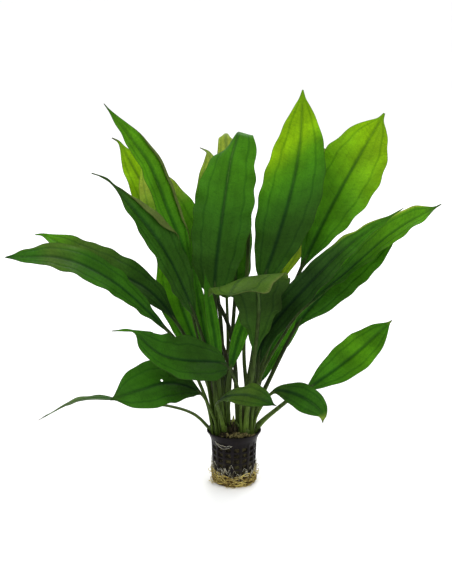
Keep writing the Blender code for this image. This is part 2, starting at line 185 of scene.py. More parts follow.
class Finish:
    """One new material's node tree, with short ways to add nodes and join them."""

    def __init__(self, name):
        self.material = bpy.data.materials.new(name)
        self.material.use_nodes = True
        self.tree = self.material.node_tree
        self.tree.nodes.clear()

    def put(self, socket, value):
        """Link a socket to another node's output, or set its value."""
        if isinstance(value, bpy.types.NodeSocket):
            self.tree.links.new(value, socket)
        elif isinstance(value, Vector) or not hasattr(value, "__len__"):
            socket.default_value = value
        else:
            full = len(value) == len(socket.default_value)
            socket.default_value = value if full else (*value, 1.0)

    def add(self, kind, inputs=(), **settings):
        """Add a node with its settings and (input name, value) pairs."""
        node = self.tree.nodes.new(kind)
        for name, value in settings.items():
            setattr(node, name, value)
        for name, value in inputs:
            self.put(node.inputs[name], value)
        return node

    def sum(self, operation, first, second=0.0, clamp=False):
        """The result of one math operation."""
        return self.add("ShaderNodeMath", ((0, first), (1, second)), operation=operation,
                        use_clamp=clamp).outputs[0]

    def step(self, value, low, high, start=0.0, end=1.0):
        """A smooth step from start to end as value goes from low to high."""
        node = self.add("ShaderNodeMapRange", (("Value", value), ("From Min", low),
                        ("From Max", high), ("To Min", start), ("To Max", end)),
                        interpolation_type="SMOOTHSTEP")
        return node.outputs["Result"]

    def mix(self, share, first, second, blend="MIX"):
        """Two colours mixed."""
        node = self.add("ShaderNodeMix", ((0, share), (6, first), (7, second)),
                        data_type="RGBA", blend_type=blend)
        return node.outputs[2]

    def attribute(self, name):
        """A named attribute of the mesh."""
        return self.add("ShaderNodeAttribute", attribute_name=name)

    def place(self, stretch=(1.0, 1.0, 1.0)):
        """Object coordinates, stretched."""
        where = self.add("ShaderNodeTexCoord").outputs["Object"]
        return self.add("ShaderNodeMapping", (("Vector", where), ("Scale", Vector(stretch)))
                        ).outputs["Vector"]

    def grain(self, scale, detail=3.0, roughness=0.55, vector=None, twist=0.0):
        """Noise from 0 to 1 at a scale in 1/metres."""
        inputs = [("Scale", scale), ("Detail", detail), ("Roughness", roughness),
                  ("Distortion", twist), ("Vector", self.place() if vector is None else vector)]
        return self.add("ShaderNodeTexNoise", inputs).outputs["Fac"]

    def bump(self, height, distance, strength=1.0):
        """A bumped normal from a height."""
        return self.add("ShaderNodeBump", (("Height", height), ("Distance", distance),
                        ("Strength", strength))).outputs["Normal"]

    def times(self, first, second):
        """Two values multiplied."""
        return self.sum("MULTIPLY", first, second)

    def plus(self, first, second):
        """Two values added."""
        return self.sum("ADD", first, second)

    def gap(self, first, second):
        """How far apart two values are."""
        return self.sum("ABSOLUTE", self.sum("SUBTRACT", first, second))

    def parts(self, vector):
        """The three numbers of a vector."""
        return self.add("ShaderNodeSeparateXYZ", (("Vector", vector),)).outputs

    def tinted(self, tone, tint, mask=1.0):
        """A colour multiplied by another, or by a grey value, where a mask shows."""
        return self.mix(mask, tone, tint, "MULTIPLY")

    def coat(self, tone, roughness, shine=0.5, normal=None):
        """An opaque surface."""
        inputs = [("Base Color", tone), ("Roughness", roughness), ("Specular IOR Level", shine)]
        if normal is not None:
            inputs.append(("Normal", normal))
        return self.add("ShaderNodeBsdfPrincipled", inputs).outputs[0]

    def close(self, shader):
        """Join the last shader to the material's output."""
        self.put(self.add("ShaderNodeOutputMaterial").inputs["Surface"], shader)
        return self.material


def settings(name):
    """One of this add-on's groups of settings."""
    return getattr(bpy.context.scene, "sword_plant_" + name)


def darker(tone, share):
    """A share of a colour's light."""
    return tuple(share * channel for channel in tone)


def as_mesh(name, mesh_data):
    """A mesh made from a bmesh, which is then freed."""
    mesh = bpy.data.meshes.new(name)
    mesh_data.to_mesh(mesh)
    mesh_data.free()
    return mesh


def put_in_scene(name, data):
    """A new object in the scene."""
    thing = bpy.data.objects.new(name, data)
    bpy.context.scene.collection.objects.link(thing)
    return thing


def shape_of(thing):
    """The mesh of an object with its modifiers or bevel applied; the object is removed."""
    graph = bpy.context.evaluated_depsgraph_get()
    mesh = bpy.data.meshes.new_from_object(thing.evaluated_get(graph), depsgraph=graph,
                                           preserve_all_data_layers=True)
    bpy.data.objects.remove(thing)
    return mesh


def material_named(name):
    """A material by its name; a fibre one is made when first asked for."""
    return bpy.data.materials.get(name) or make_fibre_material(name)


def polar(radius, angle, height):
    """A point at a radius and an angle round the pot's axis, and a height."""
    return Vector((radius * math.cos(angle), radius * math.sin(angle), height))


def finish_piece(name, mesh_data, materials, replaces=(), crease=40.0):
    """Make the finished piece from a bmesh, riding on the plant's body."""
    mesh = as_mesh(name, mesh_data)
    for material in materials:
        mesh.materials.append(material_named(material))
    mesh.shade_smooth()
    mesh.set_sharp_from_angle(angle=math.radians(crease))
    piece = put_in_scene(name, mesh)
    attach(piece, BODY)
    if replaces:
        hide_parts(*replaces)
    return piece


# ---- Leaves ----

LeafLook = namedtuple("LeafLook", "greens lean wave broad roll droops rim hole dark_stalk early"
                      " straight", defaults=(0.0, 1.0, 1.0, None, (), None, None, 0.6, 0.0, 0.0))
Roll = namedtuple("Roll", "side start end depth")
Droop = namedtuple("Droop", "side start end angle")
Rim = namedtuple("Rim", "side start end width colour")

# The look of each leaf: its greens at their places from the blade's base, 0, to its tip, 1,
# how far they lean towards the right margin, how wavy its margins are, how much broader it
# is than its solid, any margin that is rolled over the upper side, any halves that droop
# back, any rim of another colour, any hole, as (across, along), how dark its stalk is, how
# far below the solid's blade its own begins, and how much straighter its stalk is than the
# solid's. A side is 1 for the right half and -1 for the left.
# Each leaf's greens pale towards its tip and darken towards its foot. This is partly the leaf's
# own colour, partly painted light coming through the blade near the tip and painted shade near the
# foot.
LEAF_LOOKS = {
    "leaf_tall_middle": LeafLook(
        ((0.28, "shade"), (0.45, "green"), (0.57, "fresh"), (0.66, "bright"), (0.78, "lime")),
        lean=-0.16, dark_stalk=0.8),
    "leaf_tall_right": LeafLook(
        ((0, "green"), (0.2, "fresh"), (0.5, "bright"), (0.85, "lime")), lean=0.08, wave=1.4,
        dark_stalk=0.5),
    "leaf_back_right": LeafLook(
        ((0, "lime"), (0.4, "gold")), rim=Rim(1, 0.2, 1.0, 0.25, "gold")),
    "leaf_tall_left": LeafLook(
        ((0.2, "shade"), (0.42, "green"), (0.62, "fresh")), wave=1.6,
        droops=(Droop(-1, 0.60, 0.88, 120), Droop(1, 0.86, 1.0, 55)), dark_stalk=0.9),
    "leaf_back_left": LeafLook(
        ((0, "green"), (0.6, "bright"), (0.8, "gold")), broad=0.8,
        droops=(Droop(-1, 0.80, 0.98, 70), Droop(1, 0.80, 0.98, 70))),
    "leaf_back_hooked": LeafLook(
        ((0, "green"), (0.6, "fresh"), (0.85, "gold"), (0.95, "gold"), (1, "brown"))),
    "leaf_upper_left": LeafLook(
        ((0, "green"), (0.3, "fresh"), (0.7, "bright"), (0.95, "bright"), (1, "olive")),
        broad=1.05, roll=Roll(1, 0.15, 0.92, 0.45)),
    "leaf_upper_left_lower": LeafLook(
        ((0, "fresh"), (0.4, "bright"), (0.75, "lime"), (0.95, "lime"), (1, "brown")), wave=1.2),
    "leaf_crossing": LeafLook(
        ((0, "shade"), (0.3, "fresh"), (0.6, "bright"), (0.85, "gold"), (1, "lime")),
        broad=1.6, rim=Rim(1, 0.7, 1.0, 0.06, "blush"), dark_stalk=1.0),
    "leaf_left_rolled": LeafLook(
        ((0.3, "shade"), (0.7, "green"), (0.9, "olive")), broad=1.15,
        roll=Roll(1, 0.38, 1.3, 0.65), dark_stalk=0.8),
    "leaf_left_broad": LeafLook(
        ((0, "green"), (0.3, "fresh"), (0.7, "bright")), wave=1.3),
    "leaf_reaching_left": LeafLook(
        ((0, "shade"), (0.3, "green"), (0.6, "green"), (0.78, "olive"), (0.86, "green")),
        wave=0.9, rim=Rim(1, 0.5, 0.85, 0.2, "olive")),
    "leaf_reaching_behind": LeafLook(
        ((0, "deep"), (0.4, "shade"), (0.75, "olive"), (0.9, "bright")), broad=1.6),
    "leaf_low_left_upper": LeafLook(
        ((0.35, "shade"), (0.6, "green"), (0.8, "green"), (0.95, "bright"), (1, "olive")),
        broad=1.1),
    "leaf_low_left_lower": LeafLook(
        ((0, "deep"), (0.3, "shade"), (0.6, "green"), (0.9, "green"), (1, "olive")),
        hole=(0.10, 0.50)),
    "leaf_low_left_edge": LeafLook(
        ((0, "green"), (0.5, "olive"), (0.9, "olive"), (1, "brown")), wave=0.5),
    "leaf_low_front": LeafLook(
        ((0.65, "olive"), (0.9, "shade")), wave=0.8, straight=1.0),
    "leaf_low_right_drooping": LeafLook(
        ((0, "olive"), (0.3, "shade"), (0.6, "green"), (0.88, "green"), (0.95, "gold"),
         (1, "brown"))),
    "leaf_low_right": LeafLook(
        ((0, "green"), (0.3, "fresh"), (0.6, "bright"), (0.94, "fresh"), (0.98, "gold"),
         (1, "brown"))),
    "leaf_reaching_right": LeafLook(
        ((0, "shade"), (0.4, "green"), (0.65, "bright"), (0.9, "bright"), (1, "olive")),
        broad=1.3, rim=Rim(-1, 0.5, 1.0, 0.15, "gold")),
    "leaf_dark_right": LeafLook(
        ((0.5, "deep"), (0.65, "shade"), (0.8, "fresh"), (1, "bright")),
        broad=1.1, rim=Rim(-1, 0.6, 1.0, 0.2, "gold"), dark_stalk=0.9),
    "leaf_lower_right": LeafLook(
        ((0.3, "green"), (0.6, "fresh")), wave=1.2, broad=1.25, dark_stalk=0.8),
    "leaf_narrow_right": LeafLook(((0, "green"), (0.5, "fresh"))),
    # The shade and deep greens from 0.2 to 0.68 are painted shade in the hollow under the arching
    # outer half of the blade.
    "leaf_arching_centre": LeafLook(
        ((0, "green"), (0.2, "shade"), (0.35, "deep"), (0.5, "deep"), (0.68, "olive")),
        wave=2.4, broad=1.12, rim=Rim(-1, 0.5, 1.0, 0.06, "blush"), early=0.050),
    **dict.fromkeys(("leaf_young_centre", "leaf_young_left", "leaf_young_middle"),
                    LeafLook(((0, "green"), (0.4, "fresh")), wave=0.3)),
}

SIDE_VEINS = ((0.33, 0.25), (0.64, 1.0), (0.87, 0.15))   # place, as a share of a half; strength
WAVE_HEIGHT = 0.0012                # of a margin with wave 1
WAVE_LENGTH = 0.034
ROLL_RADIUS = 0.0013
HOLE_RADIUS = 0.0014
EARLY_RUN = 0.020                   # how far into the solid's blade an early one widens
GOLDEN = 0.618                      # sets each leaf's waves apart from the next one's
RUFFLE = 0.022                      # how much margins widen and narrow, as a share
DOME = 0.10                         # how far each half of a blade bulges, as a share
VEIN_WIDTH = 0.0012
SIDE_VEIN_WIDTH = 0.0011
SIDE_VEIN_DEPTH = 0.4               # of the midrib's
VEINED = (0.002, 0.008)             # half widths where veins begin and have their full depth
FULL_TURN = math.pi * 0.94          # where a rolled margin stops turning and runs on flat
BLADE_MATERIALS = ("leaf_upper", "leaf_under")

LeafShape = namedtuple("LeafShape", "stations middle right left upward")


def rim_neighbours(vert, ring):
    """Corners next to vert on its section's outline, and not across an end cap."""
    return [edge.other_vert(vert) for edge in vert.link_edges
            if edge.other_vert(vert) in ring
            and any(other not in ring for face in edge.link_faces for other in face.verts)]


def walk_round(ring):
    """A section's corners in order round it."""
    order = [min(ring, key=lambda vert: vert.index)]
    while len(order) < len(ring):
        order.append(next(vert for vert in rim_neighbours(order[-1], ring)
                          if vert not in order))
    return order


def follow_on(ring, previous):
    """A section's corners in the order that continues the previous section's."""
    order = walk_round(ring)
    turned = [way[turn:] + way[:turn] for way in (order, order[::-1])
              for turn in range(CORNERS)]
    joined = [corners for corners in turned
              if all(any(edge.other_vert(old) == new for edge in old.link_edges)
                     for old, new in zip(previous, corners))]
    return min(joined, key=lambda corners: sum((new.co - old.co).length_squared
                                               for old, new in zip(previous, corners)))


def read_leaf(node):
    """The sections of a leaf's solid, foot to tip: midrib, margins and upper direction."""
    solid = bmesh.new()
    solid.from_mesh(frame["nodes"][node].data)
    bmesh.ops.remove_doubles(solid, verts=solid.verts, dist=MERGE)
    solid.verts.index_update()
    crowns = [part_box(name) for name in CROWNS]
    centres = [(low + high) / 2 for low, high in crowns]
    spread = (crowns[0][1] - crowns[0][0]).x
    near = [vert for vert in solid.verts
            if min((vert.co - centre).to_2d().length for centre in centres) < spread]
    start = min(vert.co.z for vert in near)
    ring = {vert for vert in near if vert.co.z < start + MERGE}
    rings, seen = [], set()
    while ring:
        rings.append(ring)
        seen |= ring
        ring = {edge.other_vert(vert) for vert in ring for edge in vert.link_edges} - seen
    if any(len(ring) != CORNERS for ring in rings):
        raise RuntimeError(f"{node} has sections of {[len(ring) for ring in rings]} corners")
    sections = [walk_round(rings[0])]
    for ring in rings[1:]:
        sections.append(follow_on(ring, sections[-1]))
    corners = np.array([[vert.co[:] for vert in section] for section in sections])
    solid.free()
    half = CORNERS // 2
    broad = corners[(STALK_SECTIONS + len(corners)) // 2]
    first = max(range(half), key=lambda i: np.linalg.norm(broad[i] - broad[i + half]))
    corners = np.roll(corners, -first, axis=1)
    quarter = half // 2
    foot = corners[0]
    crown = np.array(min(centres, key=lambda c: np.linalg.norm(foot.mean(0) - np.array(c))))
    towards = [np.linalg.norm((foot[i] - crown)[:2]) for i in (quarter, quarter + half)]
    if towards[0] > towards[1]:
        corners = np.roll(corners, -half, axis=1)
    middle = (corners[:, quarter] + corners[:, quarter + half]) / 2
    upward = corners[:, quarter] - corners[:, quarter + half]
    upward /= np.linalg.norm(upward, axis=1)[:, None]
    right, left = corners[:, 0] - middle, corners[:, half] - middle
    along = np.gradient(middle, axis=0)
    if (np.cross(right, along) * upward).sum() < 0:
        right, left = left, right
    steps = np.linalg.norm(np.diff(middle, axis=0), axis=1)
    stations = np.concatenate(([0.0], np.cumsum(steps)))
    return LeafShape(stations, middle, right, left, upward)


def read_between(stations, values, wanted):
    """Values at the wanted places, from a smooth curve through those at the stations."""
    slopes = np.gradient(values, stations, axis=0)
    index = np.clip(np.searchsorted(stations, wanted, side="right") - 1, 0, len(stations) - 2)
    span = (stations[index + 1] - stations[index])[:, None]
    t = (wanted - stations[index])[:, None] / span
    return ((2 * t ** 3 - 3 * t ** 2 + 1) * values[index]
            + (t ** 3 - 2 * t ** 2 + t) * span * slopes[index]
            + (3 * t ** 2 - 2 * t ** 3) * values[index + 1]
            + (t ** 3 - t ** 2) * span * slopes[index + 1])


def smooth_step(value, low, high):
    """0 below low, 1 above high, and a smooth rise between."""
    t = np.clip((value - low) / (high - low), 0.0, 1.0)
    return t * t * (3 - 2 * t)


def leaf_greens(look, along, across):
    """The colour of each point of a blade, red, green and blue, and its share along it."""
    stops = [stop for stop, _ in look.greens]
    tints = np.array([getattr(settings("leaf"), name)[:] for _, name in look.greens])
    # The greens along the blade are partly painted light near the tip and painted shade near the
    # foot.
    where = np.clip(along + look.lean * across * (1 - along) * 4 * along, 0.0, 1.0)
    rgb = np.stack([np.interp(where, stops, tints[:, channel]) for channel in range(3)], 1)
    if look.rim:
        rim = look.rim
        share = (smooth_step(across * rim.side, 1 - rim.width * 1.4, 1 - rim.width * 0.4)
                 * smooth_step(along, rim.start, rim.start + 0.25)
                 * (1 - smooth_step(along, rim.end, rim.end + 0.2)))[:, None]
        rgb = rgb + (np.array(getattr(settings("leaf"), rim.colour)[:]) - rgb) * share
    return np.concatenate((rgb, along[:, None]), axis=1)


def set_points(mesh_data, places, blade, tint):
    """Move a bmesh's vertices to places and store what its materials read at each."""
    blade_layer = mesh_data.verts.layers.float_vector.new("blade")
    tint_layer = mesh_data.verts.layers.float_color.new("tint")
    for vert, place, at, green in zip(mesh_data.verts, places.tolist(), blade.tolist(),
                                      tint.tolist()):
        vert.co = place
        vert[blade_layer] = at
        vert[tint_layer] = green


def grid_points(mesh_data, columns, rows):
    """A flat grid, and its vertices' places across, -1 to 1, and along, 0 to 1."""
    bmesh.ops.create_grid(mesh_data, x_segments=columns, y_segments=rows, size=1.0)
    flat = np.array([vert.co[:2] for vert in mesh_data.verts])
    return flat[:, 0], (flat[:, 1] + 1) / 2


def make_blade(shape, look, phase):
    """A leaf's thin blade, bent and rippled, as an open grid of faces."""
    sizes = settings("leaf")
    solid_start, end = shape.stations[STALK_SECTIONS - 1], shape.stations[-1]
    start = solid_start - look.early
    rows = max(int((end - start) / sizes.row), 24)
    mesh_data = bmesh.new()
    across, along = grid_points(mesh_data, sizes.columns, rows)
    place = start + along * (end - start)
    middle = read_between(shape.stations, shape.middle, place)
    steady = np.maximum(place, solid_start + EARLY_RUN) if look.early else place
    right = read_between(shape.stations, shape.right, steady)
    left = read_between(shape.stations, shape.left, steady)
    upward = read_between(shape.stations, shape.upward, steady)
    upward /= np.linalg.norm(upward, axis=1)[:, None]
    outward = np.where(across[:, None] >= 0, right, left)
    outward = outward * (1 + (look.broad - 1) * smooth_step(along, 0.0, 0.2))[:, None]
    if look.early:
        outward = outward * (0.1 + 0.9 * smooth_step(place, start, steady.min()))[:, None]
    half = np.linalg.norm(outward, axis=1)
    share = np.abs(across)
    taper = smooth_step(along, 0.0, 0.2) * smooth_step(1 - along, 0.0, 0.15)
    turns = place / WAVE_LENGTH + phase + 0.37 * (across > 0)
    ripple = (np.sin(math.tau * turns) + 0.5 * np.sin(math.tau * (1.7 * turns + phase))) * taper
    outward = outward * (1 + RUFFLE * look.wave * np.sin(math.tau * 1.3 * turns + 1.0)
                         * taper)[:, None]
    lift = WAVE_HEIGHT * look.wave * share ** 2.5 * ripple
    lift = lift + DOME * half * share * (1 - share) * taper
    veins = np.exp(-(share * half / VEIN_WIDTH) ** 2)
    for vein, strength in SIDE_VEINS:
        fall = np.exp(-((share - vein) * half / SIDE_VEIN_WIDTH) ** 2)
        veins = veins + SIDE_VEIN_DEPTH * strength * fall
    lift = lift - sizes.vein_depth * veins * smooth_step(half, *VEINED)
    reach = share.copy()
    if look.roll:
        reach, raised = roll_margin(look.roll, across, along, half)
        lift = np.where(raised > 0, lift * 0.3, lift) + raised
    for droop in look.droops:
        bend = (math.radians(droop.angle) * share * (across * droop.side > 0)
                * smooth_step(along, droop.start, droop.end))
        lift = lift * np.cos(bend) - half * reach * np.sin(bend)
        reach = reach * np.cos(bend)
    places = middle + outward * reach[:, None] + upward * lift[:, None]
    blade = np.stack((across, place - start, half), axis=1)
    tint = leaf_greens(look, along, across)
    if look.roll:
        turned = smooth_step(raised, 0.3 * ROLL_RADIUS, 1.5 * ROLL_RADIUS)[:, None]
        tint[:, :3] += (np.array(sizes.blush[:]) - tint[:, :3]) * turned
    set_points(mesh_data, places, blade, tint)
    if look.hole:
        cut_hole(mesh_data, look.hole, end - start)
    return mesh_data


def roll_margin(roll, across, along, half):
    """How far out each point lies, as a share, and how high it is, where a margin rolls."""
    depth = roll.depth * smooth_step(along, roll.start, roll.start + 0.2)
    if roll.end < 1:
        depth = depth * (1 - smooth_step(along, roll.end - 0.2, roll.end))
    depth = np.where(across * roll.side > 0, depth, 0.0)
    out = np.abs(across) * (1 + depth) * half
    past = np.maximum(out - (half - ROLL_RADIUS * 0.5), 0.0)
    past = np.where(depth > 0, past, 0.0)
    angle = np.minimum(past / ROLL_RADIUS, FULL_TURN)
    straight = np.maximum(past - ROLL_RADIUS * FULL_TURN, 0.0)
    reach = out - past + ROLL_RADIUS * np.sin(angle) + straight * math.cos(FULL_TURN)
    raised = ROLL_RADIUS * (1 - np.cos(angle)) + straight * math.sin(FULL_TURN)
    return reach / np.maximum(half, MERGE), raised


def cut_hole(mesh_data, hole, blade_length):
    """Open a small round hole in a blade and draw its edge onto a circle."""
    layer = mesh_data.verts.layers.float_vector["blade"]
    centre = min(mesh_data.verts, key=lambda vert: abs(vert[layer].x - hole[0])
                 + abs(vert[layer].y / blade_length - hole[1]))
    middle = centre.co.copy()
    inside = [face for face in mesh_data.faces
              if (face.calc_center_median() - middle).length < HOLE_RADIUS]
    bmesh.ops.delete(mesh_data, geom=inside, context="FACES")
    for vert in mesh_data.verts:
        way = vert.co - middle
        if vert.is_boundary and way.length < 3 * HOLE_RADIUS:
            vert.co = middle + way.normalized() * HOLE_RADIUS


def stalk_directions(shape, place):
    """A stalk's sideways and upward directions, carried down smoothly from its blade."""
    rows, row_of = np.unique(np.round(place, 7), return_inverse=True)
    along = np.gradient(read_between(shape.stations, shape.middle, rows), axis=0)
    along /= np.linalg.norm(along, axis=1)[:, None]
    wanted = read_between(shape.stations, shape.right - shape.left, rows)
    first = np.searchsorted(rows, shape.stations[STALK_SECTIONS - 1] + EARLY_RUN)
    sideways = wanted - along * (wanted * along).sum(1)[:, None]
    sideways /= np.linalg.norm(sideways, axis=1)[:, None]
    for row in range(first - 1, -1, -1):
        flat = sideways[row + 1] - along[row] * (sideways[row + 1] @ along[row])
        sideways[row] = flat / np.linalg.norm(flat)
    upward = np.cross(sideways, along)
    return sideways[row_of], upward[row_of]


STALK_WIDE = 0.0026                 # half a stalk's width at its foot
STALK_NARROWS = 0.0008              # how much less that is below the blade
STALK_DEEP = 0.0010                 # half a stalk's depth below the blade
FOOT_DEEPER = 0.0005                # how much more that is at its foot
STALK_ARCH = 0.8                    # how flat its upper side is, as a share
RIDGE_HEIGHT = 0.05                 # of the ridges round it, as a share
RIDGES = 5
SHEATH_RUN = 0.03                   # how far up a stalk its sheath reaches
RIB_WIDE = 0.0018                   # half the midrib's width at the blade's base
RIB_TIP_WIDE = 0.00028              # and at the blade's tip
RIB_TIP_DEEP = 0.00026
RIB_SINK = 0.95                     # how far a midrib sinks under its blade, as a share


def make_stalk(shape, look):
    """A leaf's stalk, which runs on under the blade as its midrib, closed at both ends."""
    sizes = settings("leaf")
    end = shape.stations[-1]
    start = shape.stations[STALK_SECTIONS - 1]
    mesh_data = bmesh.new()
    turn, along = grid_points(mesh_data, sizes.sides, int(end / sizes.row / 2))
    place = along * end
    middle = read_between(shape.stations, shape.middle, place)
    if look.straight:
        ends = shape.middle[[0, STALK_SECTIONS - 1]]
        line = np.stack([np.interp(place, (0, start), ends[:, axis]) for axis in range(3)], 1)
        share = look.straight * (1 - smooth_step(place, 0.6 * start, start))
        middle = middle + (line - middle) * share[:, None]
    across, upward = stalk_directions(shape, place)
    under = np.clip((place - start) / (end - start), 0.0, 1.0)
    wide = np.where(place < start, STALK_WIDE - STALK_NARROWS * place / start,
                    RIB_WIDE * (1 - under) ** 1.8 + RIB_TIP_WIDE)
    wide = wide + sizes.sheath * np.clip(1 - place / SHEATH_RUN, 0.0, 1.0) ** 2
    deep = STALK_DEEP + FOOT_DEEPER * (1 - np.minimum(place / start, 1.0))
    deep = deep * (1 - under) ** 1.2 + RIB_TIP_DEEP
    sink = RIB_SINK * deep * smooth_step(under, 0.0, 0.12) * (1 - 0.4 * under)
    angle = math.pi * turn
    ridge = 1 + RIDGE_HEIGHT * np.cos(RIDGES * angle)
    arch = np.where(np.sin(angle) > 0, STALK_ARCH, 1.0) * np.sin(angle)
    high = arch * deep * ridge - sink
    places = (middle + across * (np.cos(angle) * wide * ridge)[:, None]
              + upward * high[:, None])
    blade = np.stack((turn, place, under), axis=1)
    tint = leaf_greens(look, under, np.zeros_like(under))
    tint[:, 3] = look.dark_stalk
    set_points(mesh_data, places, blade, tint)
    bmesh.ops.remove_doubles(mesh_data, verts=mesh_data.verts, dist=1e-7)
    bmesh.ops.holes_fill(mesh_data, edges=[e for e in mesh_data.edges if e.is_boundary], sides=0)
    bmesh.ops.recalc_face_normals(mesh_data, faces=mesh_data.faces)
    return mesh_data


def thicken(mesh_data, thickness):
    """The blade's mesh with its real thickness; its underside takes the second material."""
    mesh = as_mesh("blade", mesh_data)
    for name in BLADE_MATERIALS:
        mesh.materials.append(bpy.data.materials[name])
    blade = put_in_scene("blade", mesh)
    wall = blade.modifiers.new("thickness", "SOLIDIFY")
    wall.thickness = thickness
    wall.offset = 0.0
    wall.material_offset = 1
    return shape_of(blade)


def make_leaf(node, look, phase):
    """One whole leaf: its blade, and its stalk with the midrib."""
    shape = read_leaf(node)
    blade = thicken(make_blade(shape, look, phase), settings("leaf").thickness)
    stalk = make_stalk(shape, look)
    for face in stalk.faces:
        face.material_index = len(BLADE_MATERIALS)
    whole = bmesh.new()
    for mesh in (blade, as_mesh("stalk", stalk)):
        whole.from_mesh(mesh)
        bpy.data.meshes.remove(mesh)
    finish_piece(node.replace("leaf_", "leaf-"), whole, (*BLADE_MATERIALS, "leaf_stalk"),
                 (node,), crease=62)


CROSS_VEIN_PITCH = 0.0022
RIB_BAND = (0.0003, 0.0032)         # how far out a mark is full and has faded
SIDE_VEIN_BAND = (0.0002, 0.0017)
CROSS_VEIN_BAND = (0.00015, 0.0009)
MARGIN_BAND = (0.0001, 0.0007)
CROSS_VEIN_TINT = (0.35, 0.52, 0.5)
SIDE_VEIN_TINT = (0.28, 0.46, 0.6)
RIB_TINT = (0.24, 0.38, 0.8)
MARGIN_COLOUR = (0.030, 0.045, 0.012)
UNDERSIDE_OLIVE = 0.25              # share of olive in a blade's underside
LEAF_SHINE = 0.05
LEAF_THINNESS = 0.34                # share of the light that comes through a blade
LIGHT_THROUGH = (1.9, 1.45, 0.8)    # what a blade's colour is multiplied by for that light

STALK_PALE = (0.085, 0.145, 0.020)
STALK_OLIVE = (0.046, 0.088, 0.012)
STALK_DARK = (0.018, 0.028, 0.007)
# Darkens a band along the upper side of a stalk: painted shade for a groove that its shape does
# not have.
GROOVE_PAINTED_SHADE = (0.40, 0.46, 0.5)
MIDRIB_TINT = (0.55, 0.62, 0.6)
MIDRIB_OLIVE = (0.060, 0.090, 0.022)
STALK_RIDGES = 34.0                 # sets how many fine ridges run down a stalk
STALK_SHINE = 0.08


def vein_marks(g, across, along, half):
    """Masks of a blade's midrib, long side veins and cross veins, and its margin."""
    share = g.sum("ABSOLUTE", across)
    wander = g.times(g.sum("SUBTRACT", g.grain(45, 2), 0.5), 0.05)
    drawn = g.plus(share, wander)
    from_rib = g.times(share, half)
    rib = g.step(from_rib, *RIB_BAND, 1.0, 0.0)
    lines = 0.0
    for vein, strength in SIDE_VEINS:
        away = g.times(g.gap(drawn, vein), half)
        lines = g.sum("MAXIMUM", g.step(away, *SIDE_VEIN_BAND, strength, 0.0), lines)
    bent = g.plus(g.sum("SUBTRACT", along, g.times(from_rib, 0.45)),
                  g.times(g.grain(110, 3), 0.009))
    rung = g.sum("PINGPONG", bent, CROSS_VEIN_PITCH)
    cross = g.step(rung, *CROSS_VEIN_BAND, 1.0, 0.0)
    cross = g.times(cross, g.step(g.grain(160, 2), 0.42, 0.6))
    edge = g.step(g.times(g.sum("SUBTRACT", 1.0, share), half), *MARGIN_BAND, 1.0, 0.0)
    return rib, lines, cross, edge


def make_blade_material(name, underside):
    """Green leaf skin with veins, cells and light coming through it."""
    g = Finish(name)
    across, along, half = g.parts(g.attribute("blade").outputs["Vector"])
    tint = g.attribute("tint")
    rib, lines, cross, edge = vein_marks(g, across, along, half)
    skin = tint.outputs["Color"]
    if underside:
        skin = g.mix(UNDERSIDE_OLIVE, skin, settings("leaf").olive)
    patch = g.step(g.grain(38, 4, 0.6), 0.30, 0.72, 0.80, 1.20)
    cells = g.step(g.grain(900, 2, 0.6), 0.3, 0.7, 0.88, 1.10)
    skin = g.tinted(skin, g.times(patch, cells))
    skin = g.tinted(skin, CROSS_VEIN_TINT, g.times(cross, 0.22))
    skin = g.tinted(skin, SIDE_VEIN_TINT, g.times(lines, 0.42))
    rib_shade = g.step(tint.outputs["Alpha"], 0.55, 1.0, 0.85, 0.35)
    skin = g.tinted(skin, RIB_TINT, g.times(rib, rib_shade))
    skin = g.mix(g.times(edge, 0.55), skin, MARGIN_COLOUR)
    raised = 1.0 if underside else -1.0
    height = g.plus(g.times(g.sum("MAXIMUM", rib, lines), raised),
                    g.times(cross, 0.45 * raised))
    height = g.plus(height, g.times(g.grain(700, 3), 0.5))
    normal = g.bump(height, 0.00035, 0.7)
    gloss = g.step(g.grain(240, 3), 0.3, 0.7, 0.40, 0.54)
    surface = g.coat(skin, gloss, LEAF_SHINE, normal)
    through = g.add("ShaderNodeBsdfTranslucent", (("Color", g.tinted(skin, LIGHT_THROUGH)),
                    ("Normal", normal)))
    both = g.add("ShaderNodeMixShader", ((0, LEAF_THINNESS), (1, surface),
                                         (2, through.outputs[0])))
    return g.close(both.outputs[0])


def make_stalk_material(name):
    """Olive stalk, pale at its foot, dark above and the blade's colour under the blade."""
    g = Finish(name)
    turn, along, under = g.parts(g.attribute("blade").outputs["Vector"])
    tint = g.attribute("tint")
    foot = g.mix(g.step(along, 0.008, 0.10), STALK_PALE, STALK_OLIVE)
    dark = g.mix(tint.outputs["Alpha"], foot, STALK_DARK)
    body = g.mix(g.step(along, 0.0, 0.09, 0.35, 1.0), foot, dark)
    # Painted shade: the band along the stalk's upper side is darkened for a groove that the shape
    # does not have.
    body = g.tinted(body, GROOVE_PAINTED_SHADE, g.step(g.gap(turn, 0.5), 0.06, 0.30, 0.60, 0.0))
    rib = g.mix(0.45, g.tinted(tint.outputs["Color"], MIDRIB_TINT), MIDRIB_OLIVE)
    body = g.mix(g.step(under, 0.0, 0.12), body, rib)
    ridges = g.sum("SINE", g.times(turn, STALK_RIDGES))
    long_grain = g.grain(420, 3, 0.6, g.place((1.0, 1.0, 0.06)))
    tone = g.plus(g.step(long_grain, 0.3, 0.7, 0.55, 1.25), g.times(ridges, 0.16))
    normal = g.bump(g.plus(ridges, long_grain), 0.00012, 0.6)
    return g.close(g.coat(g.tinted(body, tone), 0.45, STALK_SHINE, normal))


